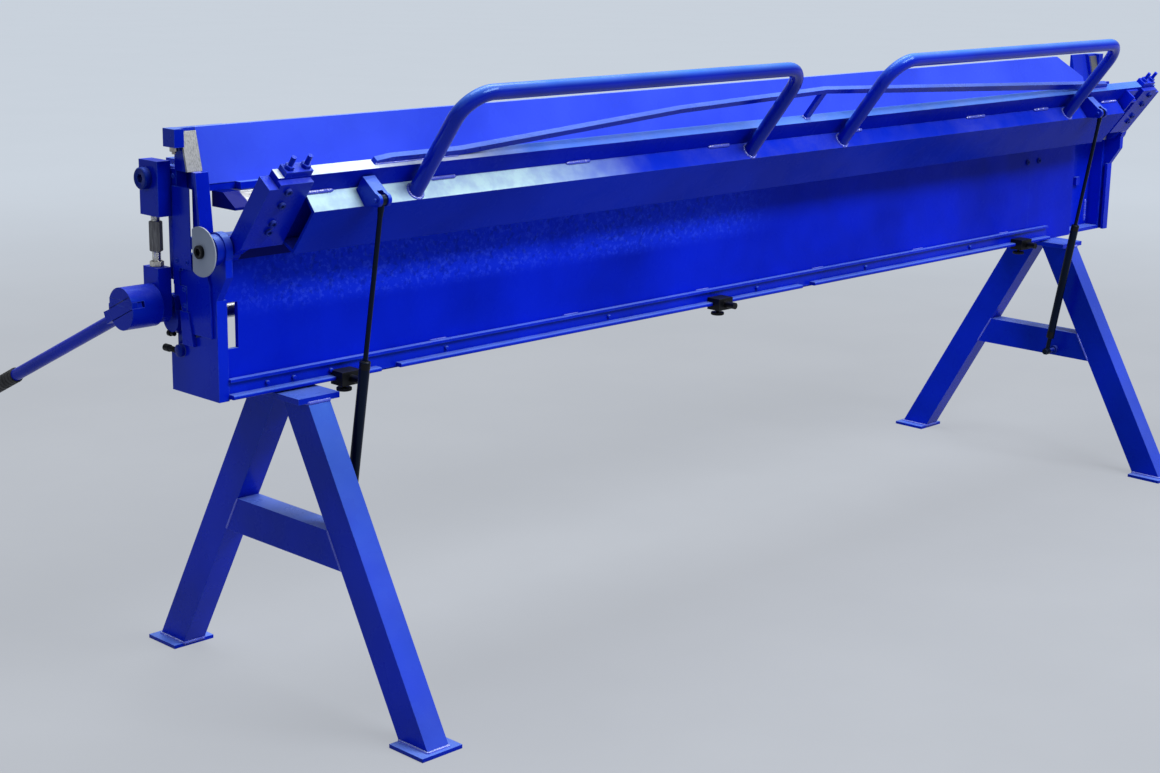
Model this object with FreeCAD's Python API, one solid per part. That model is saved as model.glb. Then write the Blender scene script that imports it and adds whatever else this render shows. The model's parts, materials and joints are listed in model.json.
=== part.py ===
import FreeCAD, Part
import math
import os

# Sheet metal brake on two trestle stands, about three metres wide.
# Lengths are in millimetres and angles in degrees. X runs along the bend, Y towards the back and Z up.
# While it is drawn, y = 0 is the bend line and z = 0 the floor. At the end every piece is moved,
# so that the origin is on the floor under the middle of the whole machine.

# Clearances
seat_gap = 0.3
running_gap = 0.05
thread_gap = 0.1

# Working length and height
bed_half_length = 1598.0
bed_z = 945.0
bed_end_room = 32.0

# Trestle stands, placed from the ends of the lower beam
left_stand_inset = 165.0
right_stand_inset = 312.0
stand_y = 18.0
leg_width = 54.0
leg_depth = 75.0
tube_wall = 4.0
leg_foot_spread = 447.0
leg_top_spread = 94.0
foot_width = 102.0
foot_length = 98.0
foot_thickness = 8.0
foot_overhang = 6.0
crossbar_low_z = 310.0
crossbar_height = 75.0
top_plate_width = 102.0
top_plate_length = 190.0
top_plate_thickness = 12.0

# Lower beam
body_height = 300.0
body_depth = 148.0
panel_front_y = 10.0
panel_thickness = 10.0
end_panel_width = 236.0
recess_width = 188.0
recess_depth = 50.0
bottom_thickness = 10.0
blade_depth = 70.0
bed_thickness = 24.0
rib_thickness = 8.0
rib_depth = 120.0
rib_beside_stand = 40.0
inner_rib_spread = 480.0
window_inset = 4.0
window_width = 34.0
window_rise = 101.0
window_height = 91.0
panel_screw_beside_seam = (-21.0, 38.0)
panel_screw_drop = 62.0
panel_screw_radius = 8.0
panel_screw_head = 5.0

# Grooved rail along the foot of the front panel
rail_left_inset = 8.0
rail_right_inset = 330.0
rail_rise = 4.0
rail_height = 39.0
rail_web = 6.0
rail_ledge_depth = 14.0
rail_ledge_height = 6.0
rail_lip_depth = 24.0
rail_lip_height = 9.0
rail_lip_rounding = 3.6
rail_notch_places = (370.0, 1758.0)
rail_notch_widths = (53.0, 50.0)

# Clamps on the rail, placed from its left end
clamp_places = (275.0, 1434.0, 2762.0)
clamp_width = 50.0
clamp_front = 20.0
clamp_jaw_low = 9.0
clamp_jaw_high = 10.0
clamp_bar_radius = 8.0
clamp_bar_length = 30.0
clamp_bar_root = 10.0
clamp_screw_radius = 4.0
clamp_screw_inset = 6.0
clamp_knob_radius = 16.0
clamp_knob_height = 8.0
clamp_stem = 8.0

# End plates of the lower beam and the hinge of the bending beam
end_plate_thickness = 16.0
cheek_thickness = 12.0
flange_reach = 24.0
flange_thickness = 8.0
column_depth = 24.0
column_knee_drop = 100.0
column_step = 32.0
column_top_drop = 17.0
column_step_drop = 51.0
end_slope_rises = (80.0, 110.0, 130.0)
end_slope_run = 56.0
hinge_lug_radius = 34.0
hinge_boss_radius = 30.0
hinge_boss_length = 16.0
hinge_pin_radius = 15.0
disc_radius = 48.0
disc_flat = 26.0
disc_thickness = 10.0
disc_bolt_radius = 10.0
disc_bolt_head = 8.0
disc_socket_radius = 5.0
disc_socket_depth = 4.0

# Guides of the upper beam
guide_front_y = 40.0
guide_front_depth = 29.7
guide_width = 30.0
guide_back_depth = 20.0
guide_back_width = 24.0
guide_rise = 143.0
guide_foot_gap = 3.0
guide_back_drop = 83.0
keeper_rise = 26.0
keeper_ahead = 68.0
keeper_foot = 14.0
keeper_shelf = 9.0
keeper_cover = 8.0
keeper_pin_room = 5.0

# Stop arm and adjusting screw on the left end plate, placed from the crank shaft
stop_arm_top = 26.0
stop_arm_foot = 40.0
stop_arm_top_ahead = (76.0, 48.0)
stop_arm_foot_ahead = (90.0, 54.0)
stop_arm_thickness = 9.0
adjuster_ahead = 64.0
adjuster_drop = 56.0
adjuster_boss_radius = 12.0
adjuster_boss_length = 22.0
adjuster_screw_radius = 4.5
adjuster_screw_front = 14.0
adjuster_screw_back = 76.0

# Bending beam, drawn flat: s away from the hinge, t away from the sheet face
rest_angle = 52.5
leaf_length_s = 205.0
leaf_thickness = 25.0
leaf_nose_s = 33.0
box_left_inset = 83.0
box_right_inset = 163.0
box_depth = 42.0
box_height = 122.0
box_edge_drop = 47.0
box_slant = 10.0
box_foot_slant = 6.0
box_wall = 6.0

# Hinge ears bolted to the ends of the bending beam
ear_thickness = 22.0
ear_radius = 24.0
ear_washer = 3.7
ear_washer_radius = 21.6
ear_arm_back = 9.6
ear_arm_front = 21.6
ear_root_drop = 15.0
ear_plate_reach = 76.0
ear_plate_low_s = 34.0
ear_plate_drop = 5.0
ear_plate_thickness = 13.0
ear_bolt_inset = 24.0
ear_bolt_drops = (128.0, 106.0, 59.0, 24.0)
ear_bolt_radius = 8.0
ear_bolt_head = 6.0

# Handles, placed from the ends of the bending beam
handle_insets = (344.0, 459.0)
handle_widths = (1025.0, 1030.0)
handle_radius = 16.0
handle_wall = 3.0
handle_bend = 65.0
handle_reach = 203.0
handle_stand_off = 23.0

# Truss bow on the top edge of the bending beam
bow_left_inset = 235.0
bow_right_inset = 264.0
bow_apex_x = -30.0
bow_bar = 20.0
bow_end_rise = 20.0
bow_apex_rise = 93.0
bow_t = 2.0
bow_foot = 80.0
bow_left_foot = 219.0
bow_left_rise = 30.0
bow_knee_x = -529.0
bow_knee_rise = 73.0
post_width = 18.0

# Adjusting blocks on the ends of the top edge
block_inset = 14.0
block_length = 62.0
block_height = 12.0
stud_inset = 12.0
stud_radius = 5.0
stud_height = 28.0
nut_radius = 9.8
nut_height = 8.0
angle_length = 60.0
angle_drop = 67.0
angle_reach = 34.0
angle_wall = 6.0

# Gas struts, placed from the stands and the front box
strut_left_beside_stand = 79.0
strut_right_beside_stand = 70.0
strut_top_rise = 23.0
strut_top_stand_off = 19.0
strut_foot_ahead = 78.0
strut_foot_rise = 18.0
strut_rod_radius = 5.0
strut_tube_radius = 11.0
strut_tube_length = 345.0
strut_foot_length = 42.0
strut_rod_in_tube = 184.0
strut_bore_gap = 0.1
strut_eye_radius = 10.0
strut_eye_width = 12.0
strut_neck_radius = 6.0
strut_nut_radius = 9.0
strut_nut_height = 7.0
strut_pin_radius = 4.0
strut_stud_radius = 6.0
clevis_gap = 1.0
clevis_wall = 8.0
clevis_radius = 13.0
clevis_heel = 5.0
clevis_web = 5.0
clevis_web_short = 16.0
clevis_arm_angle = 37.0

# Upper beam, drawn open
open_gap = 70.0
closed_gap = 1.0
beam_blade_nose_y = 1.5
beam_blade_nose_height = 5.0
beam_blade_shoulder = 38.5
beam_blade_depth = 74.5
beam_blade_height = 31.0
beam_base_front = 50.5
beam_base_depth = 98.0
beam_base_thickness = 14.0
beam_front = 66.5
beam_lean = 26.0
beam_height = 122.0
beam_plate_thickness = 12.0
beam_plate_gap = 1.0
beam_plate_right_inset = 50.0
beam_corner_length = 128.0
beam_corner_height = 65.0
gusset_thickness = 8.0
gusset_count = 6
gusset_pitch = 520.0
gusset_height = 95.0
end_block_inset = 8.0
end_block_width = 75.0
end_block_height = 122.0
tongue_reach = 26.5
tongue_height = 82.0
tongue_depth = 41.7
wear_plate_thickness = 5.0
wear_plate_inset = 6.0
cap_reach = 22.0
cap_height = 35.0
cap_set_back = 8.0
cap_depth = 38.0
cap_nut_radius = 8.0
cap_nut_height = 9.0
arm_rise = 32.0
arm_width = 30.0
arm_behind = 26.0

# Crank, links and hand lever
shaft_behind_body = 2.0
shaft_rise = 141.0
shaft_radius = 15.0
crank_throw = 35.0
crank_pin_radius = 12.0
crank_web = 14.0
crank_eye_radius = 17.0
crank_hub_radius = 26.0
bearing_radius = 30.0
link_thickness = 30.0
link_side_gap = 0.5
link_low_half_width = 25.0
link_low_foot_half_width = 12.5
link_low_rise = 74.0
link_low_foot = 35.0
link_low_bevel = 12.5
link_screw_radius = 8.0
link_screw_root = 25.0
link_low_screw = 50.0
link_high_screw = 34.0
link_high_drop = 72.0
link_high_rise = 35.0
link_high_ahead = 34.0
link_high_behind = 28.0
link_bolt_behind = 6.0
link_bolt_above_blade = 53.0
link_bolt_radius = 21.5
link_bolt_head = 14.0
link_socket_radius = 9.0
link_socket_depth = 7.0
link_boss_radius = 22.0
link_nut_radius = 15.0
link_nut_height = 14.0
coupling_low_gap = 30.0
coupling_high_gap = 12.0
coupling_flats = 30.0
end_cap_radius = 20.0
end_cap_thickness = 8.0
lever_hub_radius = 42.0
lever_hub_length = 70.0
lever_slot_width = 12.0
lever_slot_depth = 28.0
lever_slot_rise = 6.0
lever_drop_angle = 25.0
lever_rod_radius = 13.0
lever_rod_start = 36.0
lever_rod_end = 523.0
grip_radius = 16.5
grip_overlap = 8.0
grip_length = 120.0
grip_rounding = 5.5

# Places worked out from the sizes above
left = -1
right = 1
hinge_y = 0.0
hinge_z = bed_z
body_low_z = bed_z - body_height
body_back_y = panel_front_y + body_depth
body_half_length = bed_half_length + bed_end_room
leaf_half_length = body_half_length - seat_gap - ear_washer - ear_thickness
left_stand_x = left_stand_inset - body_half_length
right_stand_x = body_half_length - right_stand_inset
stand_top_z = body_low_z - top_plate_thickness
panel_back_y = panel_front_y + panel_thickness
panel_right_x = body_half_length - recess_width
panel_seam_x = panel_right_x - end_panel_width
bed_low_z = bed_z - bed_thickness
window_left_x = window_inset - body_half_length
window_low_z = body_low_z + window_rise
cheek_inner_x = body_half_length - cheek_thickness
plate_outer_x = body_half_length + end_plate_thickness
flange_front_y = panel_front_y - flange_thickness
column_back_y = flange_front_y + column_depth
column_knee_z = bed_z - column_knee_drop
boss_outer_x = plate_outer_x + hinge_boss_length
disc_outer_x = boss_outer_x + disc_thickness
rail_left_x = rail_left_inset - body_half_length
rail_right_x = body_half_length - rail_right_inset
rail_low_z = body_low_z + rail_rise
rail_top_z = rail_low_z + rail_height
rail_web_y = panel_front_y - rail_web
rail_ledge_y = panel_front_y - rail_ledge_depth
rail_lip_y = panel_front_y - rail_lip_depth
rail_lip_top_z = rail_low_z + rail_lip_height
clamp_low_z = rail_low_z - seat_gap - clamp_jaw_low
clamp_screw_y = rail_lip_y + clamp_screw_inset

shaft_y = body_back_y + shaft_behind_body
shaft_z = body_low_z + shaft_rise
pin_z = shaft_z + crank_throw
web_outer_x = plate_outer_x - 2 * link_side_gap
web_inner_x = web_outer_x - crank_web

beam_low_z = bed_z + open_gap
beam_base_z = beam_low_z + beam_blade_height
beam_top_z = beam_base_z + beam_height
beam_stroke = open_gap - closed_gap
beam_shoulder_y = beam_blade_nose_y + beam_blade_shoulder
beam_blade_back_y = beam_blade_nose_y + beam_blade_depth
beam_base_front_y = beam_blade_nose_y + beam_base_front
beam_base_back_y = beam_base_front_y + beam_base_depth
beam_base_top_z = beam_base_z + beam_base_thickness
beam_front_y = beam_blade_nose_y + beam_front
beam_face_y = guide_front_y + guide_front_depth + seat_gap
beam_tongue_back_y = beam_face_y + tongue_depth
end_block_outer_x = body_half_length - end_block_inset
end_block_inner_x = end_block_outer_x - end_block_width
end_block_top_z = beam_base_z + end_block_height
tongue_outer_x = body_half_length + tongue_reach
tongue_low_z = end_block_top_z - tongue_height
beam_plate_left_x = beam_plate_gap - end_block_outer_x
beam_plate_right_x = end_block_outer_x - beam_plate_right_inset
beam_lean_slope = beam_lean / (beam_height - beam_base_thickness)
cap_front_y = beam_face_y + cap_set_back
guide_back_y = beam_tongue_back_y + seat_gap
guide_top_z = bed_z + guide_rise
guide_back_low_z = bed_z - guide_back_drop
guide_front_low_z = body_low_z + end_slope_rises[2] + guide_foot_gap
keeper_low_z = shaft_z + keeper_rise
keeper_front_y = shaft_y - keeper_ahead
adjuster_y = shaft_y - adjuster_ahead
adjuster_z = shaft_z - adjuster_drop

link_inner_x = tongue_outer_x + link_side_gap
link_outer_x = link_inner_x + link_thickness
link_x = link_inner_x + link_thickness / 2
link_low_top_z = pin_z + link_low_rise
link_bolt_y = shaft_y + link_bolt_behind
link_bolt_z = beam_low_z + link_bolt_above_blade
link_high_low_z = link_bolt_z - link_high_drop
link_high_top_z = link_bolt_z + link_high_rise
coupling_low_z = link_low_top_z + coupling_low_gap
coupling_high_z = link_high_low_z - coupling_high_gap
hub_inner_x = link_outer_x + seat_gap
hub_outer_x = hub_inner_x + lever_hub_length
lever_x = -(hub_inner_x + hub_outer_x) / 2
lever_drop = math.radians(lever_drop_angle)
grip_start = lever_rod_end - grip_overlap

box_front_t = leaf_thickness + box_depth
box_root_s = leaf_length_s - box_edge_drop
box_top_s = box_root_s - box_slant
box_foot_s = box_root_s - box_foot_slant - box_height
box_low_s = box_foot_s + box_foot_slant
box_left_x = box_left_inset - leaf_half_length
box_right_x = leaf_half_length - box_right_inset
ear_front_t = leaf_thickness + ear_plate_thickness
ear_root_s = leaf_length_s - ear_root_drop
ear_plate_high_s = leaf_length_s - ear_plate_drop
handle_t = leaf_thickness + handle_stand_off
handle_top_s = leaf_length_s + handle_reach
bow_left_x = bow_left_inset - leaf_half_length
bow_right_x = leaf_half_length - bow_right_inset
strut_left_x = left_stand_x + strut_left_beside_stand
strut_right_x = right_stand_x - strut_right_beside_stand
strut_top_s = box_root_s + strut_top_rise
strut_top_t = box_front_t + strut_top_stand_off
strut_foot_y = stand_y - strut_foot_ahead
strut_foot_z = crossbar_low_z + strut_foot_rise
clevis_heel_t = leaf_thickness + clevis_heel
clevis_heel_s = box_root_s - box_slant * clevis_heel / box_depth
tilt = math.radians(rest_angle)


def vec(x, y, z):
    return FreeCAD.Vector(x, y, z)


def block(x_range, y_range, z_range):
    x0, x1 = sorted(x_range)
    y0, y1 = sorted(y_range)
    z0, z1 = sorted(z_range)
    return Part.makeBox(x1 - x0, y1 - y0, z1 - z0, vec(x0, y0, z0))


def rod(radius, start, end):
    """Round bar between two points."""
    axis = end.sub(start)
    return Part.makeCylinder(radius, axis.Length, start, axis)


def rod_x(radius, x_range, y, z):
    x0, x1 = sorted(x_range)
    return rod(radius, vec(x0, y, z), vec(x1, y, z))


def outline_x(points, x_range):
    """Plate with a straight-sided outline in Y and Z, from one x to another."""
    x0, x1 = sorted(x_range)
    corners = [vec(x0, y, z) for y, z in points]
    face = Part.Face(Part.makePolygon(corners + corners[:1]))
    return face.extrude(vec(x1 - x0, 0, 0))


def outline_y(points, y_range):
    """Plate with a straight-sided outline in X and Z, from one y to another."""
    y0, y1 = sorted(y_range)
    corners = [vec(x, y0, z) for x, z in points]
    face = Part.Face(Part.makePolygon(corners + corners[:1]))
    return face.extrude(vec(0, y1 - y0, 0))


def outline_z(points, z_range):
    """Plate with a straight-sided outline in X and Y, from one z to another."""
    z0, z1 = sorted(z_range)
    corners = [vec(x, y, z0) for x, y in points]
    face = Part.Face(Part.makePolygon(corners + corners[:1]))
    return face.extrude(vec(0, 0, z1 - z0))


def hexagon(radius, start, end):
    """Six-sided bar between two points, the radius taken across its corners."""
    axis = end.sub(start)
    corners = []
    for index in range(6):
        angle = math.radians(60 * index)
        corners.append(vec(radius * math.cos(angle), radius * math.sin(angle), 0))
    face = Part.Face(Part.makePolygon(corners + corners[:1]))
    bar = face.extrude(vec(0, 0, axis.Length))
    bar.Placement = FreeCAD.Placement(start, FreeCAD.Rotation(vec(0, 0, 1), axis))
    return bar


def fuse(shapes):
    return shapes[0].multiFuse(shapes[1:]).removeSplitter()


def on_leaf(shape):
    """Turns a piece drawn flat in x, s and t into the bending beam's place at rest."""
    turn = FreeCAD.Rotation(vec(1, 0, 0), 180.0 - rest_angle)
    shape.Placement = FreeCAD.Placement(vec(0, hinge_y, hinge_z), turn).multiply(shape.Placement)
    return shape


def leaf_place(x, s, t):
    y = hinge_y - s * math.cos(tilt) - t * math.sin(tilt)
    z = hinge_z + s * math.sin(tilt) - t * math.cos(tilt)
    return vec(x, y, z)


# Trestle stands

def leg_outer_spread(z):
    slope = (leg_foot_spread - leg_top_spread) / (stand_top_z - foot_thickness)
    return leg_top_spread + (stand_top_z - z) * slope


def leg_slant_width():
    rise = stand_top_z - foot_thickness
    run = leg_foot_spread - leg_top_spread
    return leg_depth * math.hypot(rise, run) / rise


def leg_outline(shrink, side):
    """Leg seen along X, cut where the two legs of a stand meet."""
    slant = leg_slant_width()
    inset = shrink * slant / leg_depth
    low_outer = leg_outer_spread(foot_thickness) - inset
    high_outer = leg_outer_spread(stand_top_z) - inset
    low_inner = low_outer - slant + 2 * inset
    high_inner = high_outer - slant + 2 * inset
    slope = (low_outer - high_outer) / (stand_top_z - foot_thickness)
    points = [(low_outer, foot_thickness), (high_outer, stand_top_z)]
    if high_inner < 0:
        meet_z = stand_top_z + high_inner / slope
        points += [(0, stand_top_z), (0, meet_z), (low_inner, foot_thickness)]
    else:
        points += [(high_inner, stand_top_z), (low_inner, foot_thickness)]
    return [(stand_y + side * y, z) for y, z in points]


def leg(x, side):
    half = leg_width / 2
    outer = outline_x(leg_outline(0, side), (x - half, x + half))
    inner_half = half - tube_wall
    hollow = outline_x(leg_outline(tube_wall, side), (x - inner_half, x + inner_half))
    return outer.cut(hollow)


def crossbar(x):
    """Tube between the two legs of a stand, its ends cut to the legs' slope."""
    slant = leg_slant_width()
    high_z = crossbar_low_z + crossbar_height

    def outline(shrink):
        low_z = crossbar_low_z + shrink
        top_z = high_z - shrink
        low = leg_outer_spread(low_z) - slant
        top = leg_outer_spread(top_z) - slant
        return [
            (stand_y - low, low_z), (stand_y + low, low_z),
            (stand_y + top, top_z), (stand_y - top, top_z),
        ]

    half = leg_width / 2
    inner_half = half - tube_wall
    outer = outline_x(outline(0), (x - half, x + half))
    return outer.cut(outline_x(outline(tube_wall), (x - inner_half, x + inner_half)))


def feet(x):
    """Two plates on the floor under the legs of one stand."""
    centre = leg_outer_spread(foot_thickness) - leg_slant_width() / 2 + foot_overhang
    plates = []
    for side in (left, right):
        middle = stand_y + side * centre
        reach = (middle - foot_length / 2, middle + foot_length / 2)
        plates.append(block((x - foot_width / 2, x + foot_width / 2), reach, (0, foot_thickness)))
    return plates


def top_plate(x):
    half = top_plate_width / 2
    reach = (stand_y - top_plate_length / 2, stand_y + top_plate_length / 2)
    return block((x - half, x + half), reach, (stand_top_z, body_low_z))


# Lower beam

def front_panel():
    panel = block((-body_half_length, panel_seam_x), (panel_front_y, panel_back_y), (body_low_z, bed_low_z))
    window = block((window_left_x, window_left_x + window_width), (panel_front_y, panel_back_y),
                   (window_low_z, window_low_z + window_height))
    return panel.cut(window)


def end_panel():
    return block((panel_seam_x, panel_right_x), (panel_front_y, panel_back_y), (body_low_z, bed_low_z))


def recess_panel():
    """Set-back wall at the right end, with its return to the front panel."""
    back_y = panel_back_y + recess_depth
    wall = block((panel_right_x, cheek_inner_x), (back_y - panel_thickness, back_y),
                 (body_low_z + bottom_thickness, bed_low_z))
    side = block((panel_right_x - panel_thickness, panel_right_x), (panel_back_y, back_y),
                 (body_low_z + bottom_thickness, bed_low_z))
    return wall.fuse(side).removeSplitter()


def bottom_plate():
    return block((-cheek_inner_x, cheek_inner_x), (panel_back_y, body_back_y),
                 (body_low_z, body_low_z + bottom_thickness))


def bed_blade():
    """Bare steel bar with the bend line as its front edge."""
    return block((-bed_half_length, bed_half_length), (hinge_y, blade_depth), (bed_low_z, bed_z))


def bed_plate():
    return block((-bed_half_length, bed_half_length), (blade_depth, body_back_y), (bed_low_z, bed_z))


def rib(x, bearing):
    half = rib_thickness / 2
    reach = (x - half, x + half)
    foot_z = body_low_z + bottom_thickness
    plate = block(reach, (panel_back_y, panel_back_y + rib_depth), (foot_z, bed_low_z))
    if bearing:
        ear = rod_x(bearing_radius, reach, shaft_y, shaft_z)
        root = block(reach, (panel_back_y, shaft_y), (shaft_z - bearing_radius, shaft_z + bearing_radius))
        plate = fuse([plate, ear, root])
    return plate.cut(rod_x(shaft_radius + running_gap, reach, shaft_y, shaft_z))


def lip_rail():
    """Web, ledge and lip of the rail, with gaps in the lip where the clamps go on."""
    reach = (rail_left_x, rail_right_x)
    web = block(reach, (rail_web_y, panel_front_y), (rail_low_z, rail_top_z))
    ledge = block(reach, (rail_ledge_y, rail_web_y), (rail_top_z - rail_ledge_height, rail_top_z))
    lips = []
    start_x = rail_left_x
    for place, width in zip(rail_notch_places, rail_notch_widths):
        lips.append(rail_lip((start_x, rail_left_x + place)))
        start_x = rail_left_x + place + width
    lips.append(rail_lip((start_x, rail_right_x)))
    return [web, ledge] + lips


def rail_lip(reach):
    """One stretch of the lip, its front edges rounded."""
    lip = block(reach, (rail_lip_y, rail_web_y), (rail_low_z, rail_lip_top_z))
    front_edges = [edge for edge in lip.Edges if is_front_edge(edge)]
    return lip.makeFillet(rail_lip_rounding, front_edges)


def is_front_edge(edge):
    """Whether an edge of the rail's lip runs along its front."""
    bounds = edge.BoundBox
    return bounds.YMax < rail_lip_y + seat_gap and bounds.XLength > bounds.ZLength


def end_plate(side):
    """Outer plate with a front flange and the lug that carries the hinge pin."""
    reach = (side * body_half_length, side * plate_outer_x)
    slope_back, slope_mid, slope_front = [body_low_z + rise for rise in end_slope_rises]
    column_front_y = flange_front_y - column_step
    outline = [
        (flange_front_y, body_low_z), (body_back_y, body_low_z), (body_back_y, slope_back),
        (body_back_y - end_slope_run, slope_mid), (column_back_y, slope_front),
        (column_back_y, hinge_z - column_top_drop), (column_front_y, hinge_z - column_top_drop),
        (column_front_y, hinge_z - column_step_drop), (flange_front_y, column_knee_z),
    ]
    plate = outline_x(outline, reach)
    lug = rod_x(hinge_lug_radius, reach, hinge_y, hinge_z)
    boss = rod_x(hinge_boss_radius, (side * plate_outer_x, side * boss_outer_x), hinge_y, hinge_z)
    flange = block((side * plate_outer_x, side * (plate_outer_x - flange_reach)),
                   (flange_front_y, panel_front_y), (body_low_z, column_knee_z))
    bore_reach = (side * body_half_length, side * boss_outer_x)
    bore = rod_x(hinge_pin_radius + running_gap, bore_reach, hinge_y, hinge_z)
    return fuse([plate, lug, boss, flange]).cut(bore)


def cheek(side):
    """Inner end wall with the bearing of the crank shaft."""
    reach = (side * cheek_inner_x, side * body_half_length)
    wall = block(reach, (panel_back_y, body_back_y), (body_low_z, bed_low_z))
    ear = rod_x(bearing_radius, reach, shaft_y, shaft_z)
    bore = rod_x(shaft_radius + running_gap, reach, shaft_y, shaft_z)
    return wall.fuse(ear).removeSplitter().cut(bore)


def guides(side):
    """Front guide bar, and back guide bar with its keeper."""
    inner = side * body_half_length
    front = block((inner, side * (body_half_length + guide_width)),
                  (guide_front_y, guide_front_y + guide_front_depth), (guide_front_low_z, guide_top_z))
    outer_x = body_half_length + guide_back_width
    reach = (inner, side * outer_x)
    back_y = guide_back_y + guide_back_depth
    back = block(reach, (guide_back_y, back_y), (guide_back_low_z, guide_top_z))
    foot = block(reach, (keeper_front_y, keeper_front_y + keeper_foot), (keeper_low_z, guide_back_low_z))
    shelf = block(reach, (keeper_front_y, back_y), (guide_back_low_z - keeper_shelf, guide_back_low_z))
    clear_z = pin_z + crank_pin_radius + keeper_pin_room
    cover_outline = [
        (keeper_front_y, keeper_low_z), (keeper_front_y + keeper_foot, keeper_low_z),
        (shaft_y - crank_throw - crank_pin_radius, clear_z), (back_y, clear_z),
        (back_y, guide_back_low_z), (keeper_front_y, guide_back_low_z),
    ]
    cover = outline_x(cover_outline, (side * outer_x, side * (outer_x - keeper_cover)))
    return [front, fuse([back, foot, shelf, cover])]


def hinge_disc():
    """Flat-sided cover disc over the left hinge pin."""
    reach = (-boss_outer_x, -disc_outer_x)
    disc = rod_x(disc_radius, reach, hinge_y, hinge_z)
    flat = block(reach, (hinge_y + disc_flat, hinge_y + disc_radius),
                 (hinge_z - disc_radius, hinge_z + disc_radius))
    return disc.cut(flat)


def disc_bolt():
    """Cap bolt with a six-sided socket on the cover disc."""
    tip = -disc_outer_x - disc_bolt_head
    head = rod_x(disc_bolt_radius, (-disc_outer_x, tip), hinge_y, hinge_z)
    socket = hexagon(disc_socket_radius, vec(tip, hinge_y, hinge_z),
                     vec(tip + disc_socket_depth, hinge_y, hinge_z))
    return head.cut(socket)


def stop_arm():
    """Slanted plate on the left end plate that the crank web can rest against."""
    top_z = shaft_z + stop_arm_top
    foot_z = shaft_z - stop_arm_foot
    outline = [(shaft_y - ahead, top_z) for ahead in stop_arm_top_ahead]
    outline += [(shaft_y - ahead, foot_z) for ahead in reversed(stop_arm_foot_ahead)]
    return outline_x(outline, (-plate_outer_x, -plate_outer_x - stop_arm_thickness))


def adjuster():
    """Round boss on the left end plate, and the screw through it along Y."""
    reach = (-plate_outer_x, -plate_outer_x - adjuster_boss_length)
    boss = rod_x(adjuster_boss_radius, reach, adjuster_y, adjuster_z)
    x = -plate_outer_x - adjuster_screw_radius - 2 * link_side_gap
    front = vec(x, adjuster_y - adjuster_screw_front, adjuster_z)
    back = vec(x, adjuster_y + adjuster_screw_back, adjuster_z)
    hole = rod(adjuster_screw_radius + running_gap, front, back)
    return [boss.cut(hole), rod(adjuster_screw_radius, front, back)]


def panel_screws():
    heads = []
    z = bed_z - panel_screw_drop
    for beside in panel_screw_beside_seam:
        x = panel_seam_x + beside
        front = vec(x, panel_front_y - panel_screw_head, z)
        heads.append(rod(panel_screw_radius, front, vec(x, panel_front_y, z)))
    return heads


# Bending beam

def leaf_plate():
    outline = [(0, 0), (leaf_length_s, 0), (leaf_length_s, leaf_thickness), (leaf_nose_s, leaf_thickness)]
    return on_leaf(outline_x(outline, (-leaf_half_length, leaf_half_length)))


def box_outline(shrink):
    """Front box of the bending beam, seen along the hinge."""
    face_t = box_front_t - shrink
    return [
        (box_root_s - shrink, leaf_thickness), (box_top_s - shrink, face_t),
        (box_low_s + shrink, face_t), (box_foot_s + shrink, leaf_thickness),
    ]


def leaf_box():
    outer = outline_x(box_outline(0), (box_left_x, box_right_x))
    hollow = outline_x(box_outline(box_wall), (box_left_x, box_right_x))
    return on_leaf(outer.cut(hollow))


def hinge_ear(side):
    """Ear around the hinge axis with its pin, and the plate that bolts it to the bending beam."""
    inner = side * leaf_half_length
    outer = side * (leaf_half_length + ear_thickness)
    ear = rod_x(ear_radius, (inner, outer), 0, 0)
    arm_outline = [(0, -ear_arm_back), (leaf_nose_s, 0), (ear_root_s, 0),
                   (ear_root_s, ear_front_t), (ear_plate_low_s, ear_front_t), (0, ear_arm_front)]
    arm = outline_x(arm_outline, (inner, outer))
    washer = rod_x(ear_washer_radius, (outer, outer + side * ear_washer), 0, 0)
    pin = rod_x(hinge_pin_radius, (inner, side * (boss_outer_x - seat_gap)), 0, 0)
    plate = block((side * (leaf_half_length - ear_plate_reach), inner), (ear_plate_low_s, ear_plate_high_s),
                  (leaf_thickness, ear_front_t))
    return on_leaf(fuse([ear, arm, washer, pin, plate]))


def ear_bolts(side):
    heads = []
    x = side * (leaf_half_length - ear_bolt_inset)
    for drop in ear_bolt_drops:
        s = leaf_length_s - drop
        head = rod(ear_bolt_radius, vec(x, s, ear_front_t), vec(x, s, ear_front_t + ear_bolt_head))
        heads.append(on_leaf(head))
    return heads


def handle(x0, width):
    """Bent tube standing on the front box, from its left leg to its right."""
    x1 = x0 + width
    bend = handle_bend
    corner = bend * (1 - math.sqrt(0.5))
    start_s = box_low_s + box_wall
    path = Part.Wire([
        Part.makeLine(vec(x0, start_s, handle_t), vec(x0, handle_top_s - bend, handle_t)),
        Part.Arc(vec(x0, handle_top_s - bend, handle_t), vec(x0 + corner, handle_top_s - corner, handle_t),
                 vec(x0 + bend, handle_top_s, handle_t)).toShape(),
        Part.makeLine(vec(x0 + bend, handle_top_s, handle_t), vec(x1 - bend, handle_top_s, handle_t)),
        Part.Arc(vec(x1 - bend, handle_top_s, handle_t), vec(x1 - corner, handle_top_s - corner, handle_t),
                 vec(x1, handle_top_s - bend, handle_t)).toShape(),
        Part.makeLine(vec(x1, handle_top_s - bend, handle_t), vec(x1, start_s, handle_t)),
    ])
    start = vec(x0, start_s, handle_t)
    tubes = []
    for radius in (handle_radius, handle_radius - handle_wall):
        circle = Part.Wire(Part.makeCircle(radius, start, vec(0, 1, 0)))
        tubes.append(path.makePipeShell([circle], True, True))
    tube = tubes[0].cut(tubes[1])
    seat = outline_x(box_outline(0), (x0 - 2 * handle_radius, x1 + 2 * handle_radius))
    return on_leaf(tube.cut(seat))


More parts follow.
